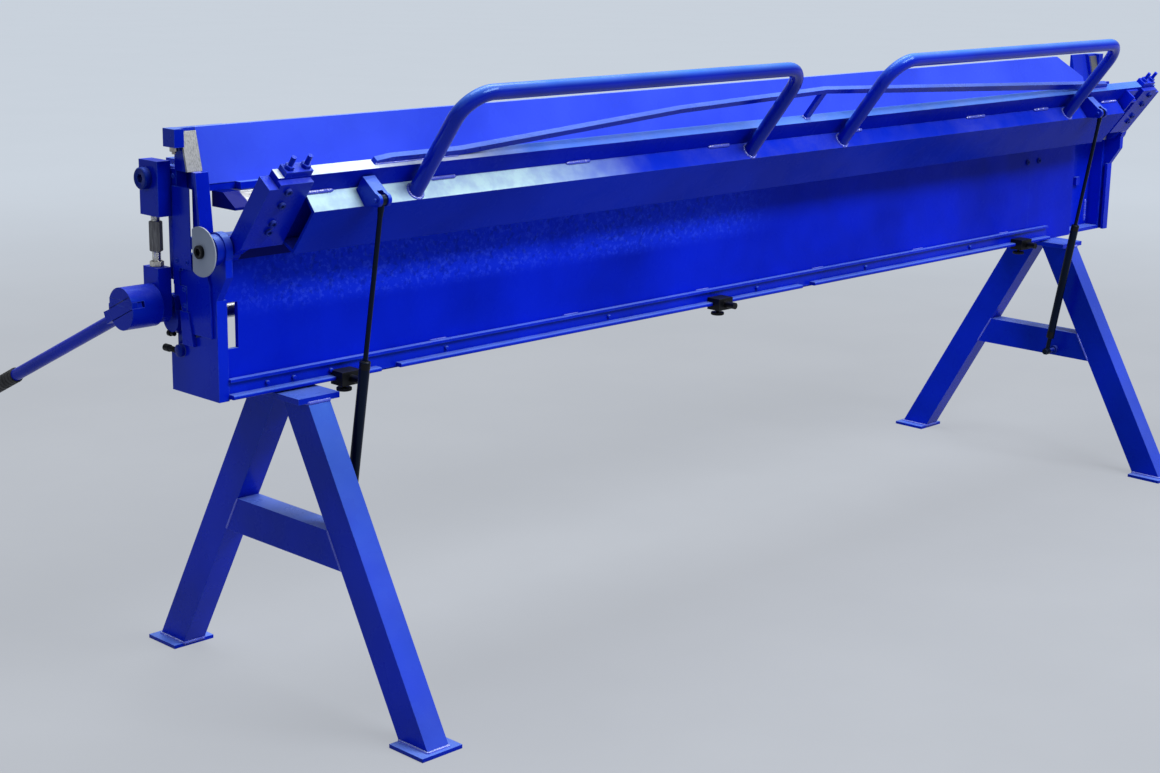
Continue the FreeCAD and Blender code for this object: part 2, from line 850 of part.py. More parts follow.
def truss_bow():
    """Shallow bow of square bar on the top edge, with its short post."""
    low_s = leaf_length_s
    apex_low_s = low_s + bow_apex_rise - bow_bar
    knee_top_s = low_s + bow_knee_rise
    left_foot_x = bow_left_x + bow_left_foot
    points = [
        (bow_left_x, low_s), (left_foot_x, low_s), (bow_knee_x, knee_top_s - bow_bar),
        (bow_apex_x, apex_low_s), (bow_right_x - bow_foot, low_s), (bow_right_x, low_s),
        (bow_right_x, low_s + bow_end_rise), (bow_apex_x, low_s + bow_apex_rise), (bow_knee_x, knee_top_s),
        (left_foot_x, low_s + bow_left_rise), (bow_left_x, low_s + bow_left_rise),
    ]
    bow = outline_z(points, (bow_t, bow_t + bow_bar))
    half = post_width / 2
    post = block((bow_apex_x - half, bow_apex_x + half), (low_s, apex_low_s), (bow_t, bow_t + bow_bar))
    return on_leaf(fuse([bow, post]))


def adjusting_block(side):
    """Small block with two studs and nuts on the end of the top edge."""
    x_out = side * (leaf_half_length - block_inset)
    x_in = x_out - side * block_length
    base_top = leaf_length_s + block_height
    middle_t = leaf_thickness / 2
    shapes = [block((x_in, x_out), (leaf_length_s, base_top), (0, leaf_thickness))]
    for x in (x_in + side * stud_inset, x_out - side * stud_inset):
        foot = vec(x, leaf_length_s, middle_t)
        seat = vec(x, base_top, middle_t)
        shapes.append(rod(stud_radius, foot, vec(x, base_top + stud_height, middle_t)))
        shapes.append(hexagon(nut_radius, seat, vec(x, base_top + nut_height, middle_t)))
    return on_leaf(fuse(shapes))


def right_angle_bracket():
    """Angle with a stud, bolted to the front of the bending beam near its right end."""
    x0 = box_right_x + angle_wall
    x1 = x0 + angle_length
    low_s = leaf_length_s - angle_drop
    high_s = low_s + angle_length
    foot = block((x0, x1), (low_s, high_s), (leaf_thickness, leaf_thickness + angle_wall))
    wall = block((x0, x0 + angle_wall), (low_s, high_s), (leaf_thickness, leaf_thickness + angle_reach))
    middle_s = (low_s + high_s) / 2
    middle_t = leaf_thickness + angle_reach / 2
    stud = rod(stud_radius, vec(x0, middle_s, middle_t), vec(x1, middle_s, middle_t))
    nut = hexagon(nut_radius, vec(x0 + angle_wall, middle_s, middle_t),
                  vec(x0 + angle_wall + nut_height, middle_s, middle_t))
    return on_leaf(fuse([foot, wall, stud, nut]))


def clevis(x):
    """Bent bracket on the front box, with its pin for the top eye of a gas strut."""
    half_gap = strut_eye_width / 2 + clevis_gap
    half_width = half_gap + clevis_wall
    across = clevis_radius * math.cos(math.radians(clevis_arm_angle))
    along = clevis_radius * math.sin(math.radians(clevis_arm_angle))
    high_s = strut_top_s + across
    shapes = []
    for side in (left, right):
        reach = (x + side * half_gap, x + side * half_width)
        round_end = rod_x(clevis_radius, reach, strut_top_s, strut_top_t)
        cheek_outline = [
            (box_top_s, box_front_t), (clevis_heel_s, clevis_heel_t), (high_s, clevis_heel_t),
            (high_s, strut_top_t - along), (strut_top_s - across, strut_top_t + along),
        ]
        shapes.append(fuse([round_end, outline_x(cheek_outline, reach)]))
    shapes.append(block((x - half_width, x + half_width), (high_s - clevis_web, high_s),
                        (clevis_heel_t, strut_top_t - clevis_web_short)))
    pin_reach = half_width + strut_pin_radius
    shapes.append(rod_x(strut_pin_radius, (x - pin_reach, x + pin_reach), strut_top_s, strut_top_t))
    return on_leaf(fuse(shapes))


# Gas struts

strut_top = leaf_place(0, strut_top_s, strut_top_t)
strut_length = math.hypot(strut_top.y - strut_foot_y, strut_top.z - strut_foot_z)
strut_lean = math.degrees(math.atan2(strut_foot_y - strut_top.y, strut_top.z - strut_foot_z))
strut_tube_end = strut_length - strut_foot_length
strut_tube_start = strut_tube_end - strut_tube_length
strut_rod_end = strut_tube_start + strut_rod_in_tube


def on_strut(shape, x):
    """Moves a piece drawn hanging down from the origin to the strut's top pivot and leans it."""
    turn = FreeCAD.Rotation(vec(1, 0, 0), strut_lean)
    shape.Placement = FreeCAD.Placement(vec(x, strut_top.y, strut_top.z), turn).multiply(shape.Placement)
    return shape


def down(distance):
    return vec(0, 0, -distance)


def strut_rod(x):
    half = strut_eye_width / 2
    eye = rod_x(strut_eye_radius, (-half, half), 0, 0)
    shaft = rod(strut_rod_radius, down(0), down(strut_rod_end))
    bore = rod_x(strut_pin_radius + running_gap, (-half, half), 0, 0)
    return on_strut(fuse([eye, shaft]).cut(bore), x)


def strut_tube(x, outer_side):
    half = strut_eye_width / 2
    tube = rod(strut_tube_radius, down(strut_tube_start), down(strut_tube_end))
    neck = rod(strut_neck_radius, down(strut_tube_end), down(strut_length))
    eye = rod_x(strut_eye_radius, (-half, half), 0, -strut_length)
    nut = hexagon(strut_nut_radius, vec(outer_side * half, 0, -strut_length),
                  vec(outer_side * (half + strut_nut_height), 0, -strut_length))
    bore_end = strut_tube_end - strut_tube_radius
    bore = rod(strut_rod_radius + strut_bore_gap, down(strut_tube_start), down(bore_end))
    return on_strut(fuse([tube, neck, eye, nut]).cut(bore), x)


def strut_stud(stand_face_x, x):
    """Stud on a crossbar that carries the foot of a gas strut."""
    side = 1 if x > stand_face_x else -1
    end_x = x - side * (strut_eye_width / 2 + seat_gap)
    return rod_x(strut_stud_radius, (stand_face_x, end_x), strut_foot_y, strut_foot_z)


# Upper beam

def beam_blade():
    """Bare clamping bar with its nose over the bend line."""
    outline = [
        (beam_blade_nose_y, beam_low_z), (beam_blade_back_y, beam_low_z), (beam_blade_back_y, beam_base_z),
        (beam_shoulder_y, beam_base_z), (beam_blade_nose_y, beam_low_z + beam_blade_nose_height),
    ]
    return outline_x(outline, (-bed_half_length, bed_half_length))


def beam_base():
    """Base bar of the upper beam with the gussets that hold its tall plate."""
    shapes = [block((-end_block_inner_x, end_block_inner_x), (beam_base_front_y, beam_base_back_y),
                    (beam_base_z, beam_base_top_z))]
    half = gusset_thickness / 2
    back_at_foot = beam_front_y + beam_plate_thickness
    back_at_top = back_at_foot + beam_lean_slope * gusset_height
    gusset_top_z = beam_base_top_z + gusset_height
    outline = [
        (back_at_foot, beam_base_top_z), (beam_base_back_y, beam_base_top_z),
        (back_at_top + gusset_thickness, gusset_top_z), (back_at_top, gusset_top_z),
    ]
    for index in range(gusset_count):
        x = (index - (gusset_count - 1) / 2) * gusset_pitch
        shapes.append(outline_x(outline, (x - half, x + half)))
    return fuse(shapes)


def beam_plate():
    """Tall plate that leans back, with its right top corner cut off."""
    back_y = beam_front_y + beam_plate_thickness
    outline = [
        (beam_front_y, beam_base_top_z), (back_y, beam_base_top_z),
        (back_y + beam_lean, beam_top_z), (beam_front_y + beam_lean, beam_top_z),
    ]
    plate = outline_x(outline, (beam_plate_left_x, beam_plate_right_x))
    corner = [(beam_plate_right_x - beam_corner_length, beam_top_z), (beam_plate_right_x, beam_top_z),
              (beam_plate_right_x, beam_top_z - beam_corner_height)]
    return plate.cut(outline_y(corner, (beam_front_y, beam_base_back_y)))


def tongue_face_y(z):
    """Front of the wear plate at a height: it leans back as the tall plate does."""
    return beam_face_y + beam_lean_slope * (z - tongue_low_z)


def beam_end(side):
    """End block with the sliding tongue, the cap lug and the arm that takes the link."""
    inner = side * end_block_outer_x
    outer = side * tongue_outer_x
    plate_back_y = beam_front_y + beam_plate_thickness + seat_gap
    plate_back_top_y = plate_back_y + beam_lean_slope * (end_block_top_z - beam_base_top_z)
    outline = [
        (beam_face_y, beam_base_z), (beam_tongue_back_y, beam_base_z), (beam_tongue_back_y, end_block_top_z),
        (plate_back_top_y, end_block_top_z), (plate_back_y, beam_base_top_z), (beam_face_y, beam_base_top_z),
    ]
    body = outline_x(outline, (side * end_block_inner_x, inner))
    low_y = tongue_face_y(tongue_low_z) + wear_plate_thickness
    high_y = tongue_face_y(end_block_top_z) + wear_plate_thickness
    tongue_outline = [(low_y, tongue_low_z), (beam_tongue_back_y, tongue_low_z),
                      (beam_tongue_back_y, end_block_top_z), (high_y, end_block_top_z)]
    tongue = outline_x(tongue_outline, (inner, outer))
    cap = block((outer, side * (tongue_outer_x + cap_reach)), (cap_front_y, cap_front_y + cap_depth),
                (end_block_top_z - cap_height, end_block_top_z))
    arm = block((side * (end_block_outer_x - arm_width), inner),
                (beam_tongue_back_y, link_bolt_y + arm_behind), (beam_base_z, link_bolt_z + arm_rise))
    boss = rod_x(link_boss_radius, (inner, outer), link_bolt_y, link_bolt_z)
    return fuse([body, tongue, cap, arm, boss])


def wear_plate(side):
    """Bare steel facing on the front of a tongue."""
    high_z = end_block_top_z - wear_plate_inset
    low_y = tongue_face_y(tongue_low_z)
    high_y = tongue_face_y(high_z)
    outline = [(low_y, tongue_low_z), (low_y + wear_plate_thickness, tongue_low_z),
               (high_y + wear_plate_thickness, high_z), (high_y, high_z)]
    return outline_x(outline, (side * end_block_outer_x, side * tongue_outer_x))


def cap_nut(side):
    """Nut under a cap lug."""
    x = side * (tongue_outer_x + cap_reach / 2)
    y = cap_front_y + cap_depth / 2
    seat_z = end_block_top_z - cap_height
    return hexagon(cap_nut_radius, vec(x, y, seat_z - cap_nut_height), vec(x, y, seat_z))


# Crank, links and lever

def crank_shaft():
    return rod_x(shaft_radius, (-web_inner_x, web_inner_x), shaft_y, shaft_z)


def crank_arm(side):
    """Crank web with its pin, and the end cap on the side without a lever."""
    reach = (side * web_inner_x, side * web_outer_x)
    hub = rod_x(crank_hub_radius, reach, shaft_y, shaft_z)
    eye = rod_x(crank_eye_radius, reach, shaft_y, pin_z)
    neck = block(reach, (shaft_y - crank_eye_radius, shaft_y + crank_eye_radius), (shaft_z, pin_z))
    pin = rod_x(crank_pin_radius, (side * web_outer_x, side * hub_inner_x), shaft_y, pin_z)
    shapes = [hub, eye, neck, pin]
    if side == right:
        shapes.append(rod_x(end_cap_radius, (hub_inner_x, hub_inner_x + end_cap_thickness), shaft_y, pin_z))
    return fuse(shapes)


def lever_hub():
    """Round hub on the left crank pin, slotted across its outer end, bored for the lever rod."""
    hub = rod_x(lever_hub_radius, (-hub_outer_x, -hub_inner_x), shaft_y, pin_z)
    slot_z = pin_z + lever_slot_rise
    slot = block((-hub_outer_x, lever_slot_depth - hub_outer_x),
                 (shaft_y - lever_hub_radius, shaft_y + lever_hub_radius),
                 (slot_z, slot_z + lever_slot_width))
    bore = rod(lever_rod_radius, lever_place(lever_rod_start), lever_place(lever_rod_end))
    return hub.cut(slot).cut(bore)


def lever_place(distance):
    """Point on the lever's axis, measured from the hub's centre."""
    return vec(lever_x, shaft_y + distance * math.cos(lever_drop), pin_z - distance * math.sin(lever_drop))


def lever_rod():
    return rod(lever_rod_radius, lever_place(lever_rod_start), lever_place(lever_rod_end))


def lever_grip():
    """Closed sleeve over the end of the lever rod."""
    end = lever_place(grip_start + grip_length)
    sleeve = rod(grip_radius, lever_place(grip_start), end)
    rims = [edge for edge in sleeve.Edges if edge.Closed]
    sleeve = sleeve.makeFillet(grip_rounding, rims)
    return sleeve.cut(rod(lever_rod_radius, lever_place(grip_start), lever_place(lever_rod_end)))


def link_low(side):
    """Lower block of a link, narrowed under the crank pin, with its screw."""
    reach = (side * link_inner_x, side * link_outer_x)
    half = link_low_half_width
    foot_half = link_low_foot_half_width
    foot_z = pin_z - link_low_foot
    knee_z = foot_z + link_low_bevel
    outline = [
        (shaft_y - half, link_low_top_z), (shaft_y - half, knee_z), (shaft_y - foot_half, foot_z),
        (shaft_y + foot_half, foot_z), (shaft_y + half, knee_z), (shaft_y + half, link_low_top_z),
    ]
    x = link_x * side
    screw = rod(link_screw_radius, vec(x, shaft_y, link_low_top_z - link_screw_root),
                vec(x, shaft_y, link_low_top_z + link_low_screw))
    bore = rod_x(crank_pin_radius + running_gap, reach, shaft_y, pin_z)
    return fuse([outline_x(outline, reach), screw]).cut(bore)


def link_high(side):
    """Upper block of a link, with its screw."""
    reach = (side * link_inner_x, side * link_outer_x)
    plate = block(reach, (shaft_y - link_high_ahead, shaft_y + link_high_behind),
                  (link_high_low_z, link_high_top_z))
    x = link_x * side
    screw = rod(link_screw_radius, vec(x, shaft_y, link_high_low_z - link_high_screw),
                vec(x, shaft_y, link_high_low_z + link_screw_radius))
    return fuse([plate, screw])


def link_bolt(side):
    """Big round cap bolt on a link's upper block."""
    tip = side * (link_outer_x + link_bolt_head)
    head = rod_x(link_bolt_radius, (side * link_outer_x, tip), link_bolt_y, link_bolt_z)
    socket = hexagon(link_socket_radius, vec(tip, link_bolt_y, link_bolt_z),
                     vec(tip - side * link_socket_depth, link_bolt_y, link_bolt_z))
    return head.cut(socket)


def link_nut(side):
    """Lock nut on the lower screw of a link."""
    foot = vec(link_x * side, shaft_y, link_low_top_z)
    head = vec(link_x * side, shaft_y, link_low_top_z + link_nut_height)
    return hexagon(link_nut_radius, foot, head).cut(rod(link_screw_radius, foot, head))


def coupling(side):
    """Long six-sided nut between the two screws of a link."""
    foot = vec(link_x * side, shaft_y, coupling_low_z)
    head = vec(link_x * side, shaft_y, coupling_high_z)
    body = hexagon(coupling_flats / math.sqrt(3), foot, head)
    return body.cut(rod(link_screw_radius + thread_gap, foot, head))


# Clamps on the rail

def rail_clamp(x):
    """Jaw that grips the lip of the rail, with a short round bar to the front."""
    reach = (x - clamp_width / 2, x + clamp_width / 2)
    front_y = rail_lip_y - clamp_front
    throat_top_z = rail_lip_top_z + seat_gap
    body = block(reach, (front_y, rail_web_y - 2 * seat_gap), (clamp_low_z, throat_top_z + clamp_jaw_high))
    throat = block(reach, (rail_lip_y - seat_gap, rail_web_y), (rail_low_z - seat_gap, throat_top_z))
    bar_z = (rail_low_z + rail_lip_top_z) / 2
    bar_front = vec(x, front_y - clamp_bar_length, bar_z)
    bar = rod(clamp_bar_radius, bar_front, vec(x, front_y + clamp_bar_root, bar_z))
    hole_radius = clamp_screw_radius + running_gap
    hole = rod(hole_radius, vec(x, clamp_screw_y, clamp_low_z), vec(x, clamp_screw_y, rail_low_z))
    return fuse([body, bar]).cut(throat).cut(hole)


def clamp_screw(x):
    """Screw with a flat round knob under the jaw."""
    knob_top = vec(x, clamp_screw_y, clamp_low_z - clamp_stem)
    knob_low = vec(x, clamp_screw_y, clamp_low_z - clamp_stem - clamp_knob_height)
    stem = rod(clamp_screw_radius, knob_top, vec(x, clamp_screw_y, rail_low_z - seat_gap))
    return fuse([stem, rod(clamp_knob_radius, knob_low, knob_top)])


def all_pieces():
    """Every piece by its name, as a list of the solids that share the name."""
    pieces = {}
    pieces["stand_left_legs"] = [leg(left_stand_x, side) for side in (left, right)]
    pieces["stand_right_legs"] = [leg(right_stand_x, side) for side in (left, right)]
    pieces["stand_crossbars"] = [crossbar(x) for x in (left_stand_x, right_stand_x)]
    pieces["stand_top_plates"] = [top_plate(x) for x in (left_stand_x, right_stand_x)]
    pieces["stand_feet"] = feet(left_stand_x) + feet(right_stand_x)
    pieces["front_panel"] = [front_panel()]
    pieces["end_panel"] = [end_panel()]
    pieces["recess_panel"] = [recess_panel()]
    pieces["bottom_plate"] = [bottom_plate()]
    pieces["bed_blade"] = [bed_blade()]
    pieces["bed_plate"] = [bed_plate()]
    pieces["ribs"] = [
        rib(left_stand_x + rib_beside_stand, False), rib(-inner_rib_spread, True),
        rib(inner_rib_spread, True), rib(right_stand_x + rib_beside_stand, False),
    ]
    pieces["lip_rail"] = lip_rail()
    pieces["stop_arm"] = [stop_arm()]
    pieces["hinge_disc"] = [hinge_disc()]
    half_leg = leg_width / 2
    studs = [
        strut_stud(left_stand_x + half_leg, strut_left_x),
        strut_stud(right_stand_x - half_leg, strut_right_x),
    ]
    pieces["frame_fasteners"] = panel_screws() + adjuster() + [disc_bolt()] + studs
    pieces["leaf_plate"] = [leaf_plate()]
    pieces["leaf_box"] = [leaf_box()]
    pieces["hinge_ears"] = [hinge_ear(side) for side in (left, right)]
    pieces["leaf_bolts"] = ear_bolts(left) + ear_bolts(right)
    pieces["truss_bow"] = [truss_bow()]
    pieces["leaf_adjusters"] = [adjusting_block(left), adjusting_block(right), right_angle_bracket()]
    pieces["strut_brackets"] = [clevis(x) for x in (strut_left_x, strut_right_x)]
    pieces["beam_blade"] = [beam_blade()]
    pieces["beam_base"] = [beam_base()]
    pieces["beam_plate"] = [beam_plate()]
    pieces["beam_ends"] = [beam_end(side) for side in (left, right)]
    pieces["wear_plates"] = [wear_plate(side) for side in (left, right)]
    pieces["cap_nuts"] = [cap_nut(side) for side in (left, right)]
    pieces["crank_shaft"] = [crank_shaft()]
    pieces["crank_arms"] = [crank_arm(side) for side in (left, right)]
    pieces["lever_hub"] = [lever_hub()]
    pieces["lever_rod"] = [lever_rod()]
    pieces["lever_grip"] = [lever_grip()]
    left_inset, right_inset = handle_insets
    left_width, right_width = handle_widths
    pieces["handle_left"] = [handle(left_inset - leaf_half_length, left_width)]
    pieces["handle_right"] = [handle(leaf_half_length - right_inset - right_width, right_width)]
    for name, side, strut_x in (("left", left, strut_left_x), ("right", right, strut_right_x)):
        pieces["end_plate_" + name] = [end_plate(side)]
        pieces["cheek_" + name] = [cheek(side)]
        pieces["guides_" + name] = guides(side)
        pieces["link_low_" + name] = [link_low(side)]
        pieces["link_high_" + name] = [link_high(side)]
        pieces["link_bolts_" + name] = [link_bolt(side), link_nut(side)]
        pieces["coupling_" + name] = [coupling(side)]
        pieces["strut_rod_" + name] = [strut_rod(strut_x)]
        pieces["strut_tube_" + name] = [strut_tube(strut_x, -side)]
    for index, clamp_place in enumerate(clamp_places, start=1):
        pieces["rail_clamp_%d" % index] = [rail_clamp(rail_left_x + clamp_place)]
        pieces["clamp_screw_%d" % index] = [clamp_screw(rail_left_x + clamp_place)]
    return pieces


def floor_centre(pieces):
    """Point on the floor under the middle of the whole machine."""
    x_ends = []
    y_ends = []
    for shapes in pieces.values():
        for shape in shapes:
            bounds = shape.optimalBoundingBox(False, False)
            x_ends += [bounds.XMin, bounds.XMax]
            y_ends += [bounds.YMin, bounds.YMax]
    return vec((min(x_ends) + max(x_ends)) / 2, (min(y_ends) + max(y_ends)) / 2, 0)


def report(name, place, origin):
    shifted = place.sub(origin)
    print("%s %.3f %.3f %.3f" % (name, shifted.x, shifted.y, shifted.z))


def main():
    os.makedirs("parts", exist_ok=True)
    pieces = all_pieces()
    origin = floor_centre(pieces)
    for name, shapes in pieces.items():
        moved = []
        for shape in shapes:
            shape.translate(origin.negative())
            moved.append(shape)
        whole = moved[0] if len(moved) == 1 else Part.makeCompound(moved)
        whole.exportStep("parts/" + name + ".step")
        solids = sum(len(shape.Solids) for shape in moved)
        valid = all(shape.isValid() for shape in moved)
        print("%s solids %d volume %.0f valid %s" % (name, solids, whole.Volume, valid))
    print("nodes %d" % len(pieces))
    report("origin", vec(0, 0, 0), origin)
    report("leaf hinge", vec(0, hinge_y, hinge_z), origin)
    report("crank shaft", vec(0, shaft_y, shaft_z), origin)
    report("crank pin left", vec(-link_x, shaft_y, pin_z), origin)
    report("crank pin right", vec(link_x, shaft_y, pin_z), origin)
    report("strut top left", vec(strut_left_x, strut_top.y, strut_top.z), origin)
    report("strut top right", vec(strut_right_x, strut_top.y, strut_top.z), origin)
    report("strut foot left", vec(strut_left_x, strut_foot_y, strut_foot_z), origin)
    for index, clamp_place in enumerate(clamp_places, start=1):
        report("clamp screw %d" % index, vec(rail_left_x + clamp_place, clamp_screw_y, rail_low_z), origin)
    print("strut length %.3f lean %.3f stroke %.1f" % (strut_length, strut_lean, beam_stroke))


main()
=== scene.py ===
# %% [markdown]
# # Sheet metal brake
# A long folding brake for roofing sheet: two trestle stands carry a lower beam, a bending beam swings on its
# front edge, and an upper beam comes down on the sheet when the hand lever is turned. The plates, tubes and
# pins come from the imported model, and this lesson gives them their paint, steel, rubber, welds and threads.

# %% Load the frame
import bpy
import bmesh
import json
import math
import random
from mathutils import Matrix, Vector


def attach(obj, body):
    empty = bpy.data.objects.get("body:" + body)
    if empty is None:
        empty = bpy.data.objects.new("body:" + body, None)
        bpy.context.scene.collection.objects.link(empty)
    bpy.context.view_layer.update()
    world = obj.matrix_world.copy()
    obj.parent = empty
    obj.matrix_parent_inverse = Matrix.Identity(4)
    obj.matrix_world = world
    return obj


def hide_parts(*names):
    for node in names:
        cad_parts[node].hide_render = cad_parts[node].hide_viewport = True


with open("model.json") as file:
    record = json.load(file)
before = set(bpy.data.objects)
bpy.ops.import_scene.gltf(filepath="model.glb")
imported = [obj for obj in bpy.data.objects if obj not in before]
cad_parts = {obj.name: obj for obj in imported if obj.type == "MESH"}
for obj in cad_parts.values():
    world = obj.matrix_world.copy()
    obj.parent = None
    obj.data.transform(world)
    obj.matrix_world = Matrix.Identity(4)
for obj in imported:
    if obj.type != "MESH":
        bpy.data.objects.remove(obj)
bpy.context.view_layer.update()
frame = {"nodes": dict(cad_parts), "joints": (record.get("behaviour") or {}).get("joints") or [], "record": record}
slot_of = {part["node"]: part["material_slot"] for part in frame["record"]["subparts"]}

# %% [markdown]
# Places on the real machine count from the bend line: x along it, y towards the back. The hinge joint of
# the bending beam lies on that line, so every place below is given in millimetres from the hinge and the floor,
# and one helper turns it into metres in the frame.

# %% Places from the bend line
bend_line = Vector(next(joint["pos_m"] for joint in frame["joints"] if joint["name"] == "leaf_swing"))


def place(x, y, z):
    """Point in metres from millimetres along the bend, behind it, and above the floor."""
    return Vector((bend_line.x + x / 1000, bend_line.y + y / 1000, z / 1000))


def along(x):
    """Place along the machine in metres, from millimetres along the bend."""
    return place(x, 0, 0).x


print("bend line at", tuple(round(value, 3) for value in bend_line))

# %% [markdown]
# The bending beam rests tilted. Its own sizes are easier to read along its face: s runs up the beam away from
# the hinge, and t stands out from its front.

# %% Places on the tilted bending beam
rest_tilt = math.radians(52.5)
along_s = Vector((0, -math.cos(rest_tilt), math.sin(rest_tilt)))
along_t = Vector((0, -math.sin(rest_tilt), -math.cos(rest_tilt)))


def leaf_place(x, s, t):
    """Point in metres on the bending beam, from millimetres along x, s and t."""
    foot = Vector((bend_line.x + x / 1000, bend_line.y, bend_line.z))
    return foot + along_s * s / 1000 + along_t * t / 1000


# %% [markdown]
# The camera stands to the left and in front, at eye height, and looks down a little. Its distance, turn and
# lens follow the photograph, so that the long beam runs away to the right.

# %% Camera
eye_from_bend = (-3851.0, -3131.0, 1603.0)
camera_turn = math.radians(44.40)
camera_dip = math.radians(13.63)
camera_roll = math.radians(0.89)
camera_lens = 62.47
camera_data = bpy.data.cameras.new("eye")
camera_data.sensor_width = 36.0
camera_data.lens = camera_lens
camera = bpy.data.objects.new("eye", camera_data)
bpy.context.collection.objects.link(camera)
turn = Matrix.Rotation(camera_turn - math.pi / 2, 4, "Z")
dip = Matrix.Rotation(math.pi / 2 - camera_dip, 4, "X")
roll = Matrix.Rotation(camera_roll, 4, "Z")
camera.matrix_world = Matrix.Translation(place(*eye_from_bend)) @ turn @ dip @ roll
bpy.context.scene.camera = camera
print("camera at", tuple(round(value, 3) for value in camera.location))

# %% [markdown]
# Every finish below is built from nodes. A few short helpers place a node and fill its sockets, so that a
# material reads like a recipe: each line names one ingredient and what goes into it. A colour has three numbers
# here, and its fourth is always 1.

# %% Node helpers
def feed(socket, source):
    """Joins a socket to another node's output, or types a plain number or colour into it."""
    if isinstance(source, bpy.types.NodeSocket):
        socket.id_data.links.new(source, socket)
    else:
        socket.default_value = (*source, 1) if socket.type == "RGBA" else source


def fill(node, sources):
    """Feeds several sockets of a node, each found by its title or its number."""
    for title, source in sources.items():
        feed(node.inputs[title], source)


def put_node(beside, kind, sources=None, **settings):
    """Places a shader node in the tree of another node or socket, sets its switches and fills its sockets."""
    node = beside.id_data.nodes.new("ShaderNode" + kind)
    for setting, value in settings.items():
        setattr(node, setting, value)
    fill(node, sources or {})
    return node


# %% [markdown]
# Masks and colours are worked out in steps: arithmetic, a change of range, a blend, noise, the parts of a vector.
# Each kind of step gets a name of its own.

# %% Steps on values and colours
def reckon(operation, first, second):
    """One step of arithmetic on two values, of which one may be a plain number."""
    beside = first if isinstance(first, bpy.types.NodeSocket) else second
    return put_node(beside, "Math", {0: first, 1: second}, operation=operation).outputs[0]


def times(first, *others):
    """Multiplies values, so that a mask holds only where all of them do."""
    for other in others:
        first = reckon("MULTIPLY", first, other)
    return first


def spread(value, low, high, to_low=0.0, to_high=1.0):
    """Stretches the part of a value between low and high over a new range."""
    sources = dict(enumerate((value, low, high, to_low, to_high)))
    return put_node(value, "MapRange", sources, interpolation_type="SMOOTHSTEP").outputs[0]


def blend_colour(share, first, second):
    """Mixes two colours by a share from 0 to 1."""
    return put_node(share, "Mix", {"Factor": share, 6: first, 7: second}, data_type="RGBA").outputs[2]


def clouds(coordinates, scale, detail=4.0, rough=0.55):
    """Soft uneven noise, from 0 to 1."""
    sources = {"Vector": coordinates, "Scale": scale, "Detail": detail, "Roughness": rough}
    return put_node(coordinates, "TexNoise", sources).outputs["Fac"]


def vector_step(operation, first, second):
    """One step on two vectors, which gives a Vector or a Value."""
    return put_node(first, "VectorMath", {0: first, 1: second}, operation=operation).outputs


def axes_of(vector):
    """The X, Y and Z of a vector or place."""
    return put_node(vector, "SeparateXYZ", {0: vector}).outputs


def true_normal(beside):
    """The way that the surface faces in the world."""
    return put_node(beside, "NewGeometry").outputs["Normal"]


# %% [markdown]
# An effect that several finishes share becomes a node group with named sockets. This helper opens one, and a
# second one places it in a material with that material's own values.

# %% Open and use a shared effect
def open_group(name, outputs=("Mask",), **inputs):
    """New node group with coordinates, floats and vectors (None) as inputs, and floats as outputs."""
    group = bpy.data.node_groups.new(name, "ShaderNodeTree")
    for title, value in {"Coordinates": None, **inputs}.items():
        kind = "NodeSocketVector" if value is None else "NodeSocketFloat"
        socket = group.interface.new_socket(title, in_out="INPUT", socket_type=kind)
        if value is not None:
            socket.default_value = value
    for title in outputs:
        group.interface.new_socket(title, in_out="OUTPUT", socket_type="NodeSocketFloat")
    print("effect", name, "gives", *outputs)
    given = group.nodes.new("NodeGroupInput").outputs
    return given["Coordinates"], given, group.nodes.new("NodeGroupOutput").inputs


def use_group(spot, name, output="Mask", **values):
    """Places a shared effect and gives back one of its outputs."""
    sources = {"Coordinates": spot, **values}
    return put_node(spot, "Group", sources, node_tree=bpy.data.node_groups[name]).outputs[output]


# %% [markdown]
# Handled machines wear first at their edges, and edges catch a thin line of light. The Bevel node bends the normal
# near an edge, so the angle between it and the true normal marks a thin line along every edge. Noise breaks that
# line up, as knocks do, and the finishes paint it lighter: wear and a painted highlight in one.

# %% Worn and highlighted edges
spot, given, result = open_group("edge_wear_and_highlight", Reach=0.002, Patchiness=40.0)
rounded = put_node(spot, "Bevel", {"Radius": given["Reach"]}, samples=4).outputs["Normal"]
facing = vector_step("DOT_PRODUCT", rounded, true_normal(spot))["Value"]
line = spread(reckon("SUBTRACT", 1.0, facing), 0.02, 0.20)
patches = spread(clouds(spot, given["Patchiness"]), 0.36, 0.62)
feed(result["Mask"], times(line, patches))

# %% [markdown]
# Dust settles on faces that look up and stays off the rest. The height part of the normal finds those faces,
# and two sizes of noise make the film uneven.

# %% Fallen dust
spot, given, result = open_group("fallen_dust", Amount=0.4)
upward = spread(axes_of(true_normal(spot))["Z"], 0.35, 0.98)
film = spread(clouds(spot, 9.0), 0.30, 0.75)
grit = spread(clouds(spot, 160.0), 0.35, 0.70, 0.55, 1.0)
feed(result["Mask"], times(upward, film, grit, given["Amount"]))

# %% [markdown]
# Paint that looks up at the sky is painted paler: a painted sheen that stands in for the light it mirrors from above.
# The mask simply follows the height part of the normal, broken up a little.

# %% Painted sheen on tops
spot, given, result = open_group("painted_top_sheen", Amount=0.8)
upward = reckon("MAXIMUM", axes_of(true_normal(spot))["Z"], 0.0)
uneven = spread(clouds(spot, 5.0), 0.25, 0.75, 0.75, 1.0)
feed(result["Mask"], times(reckon("POWER", upward, 1.8), uneven, given["Amount"]))
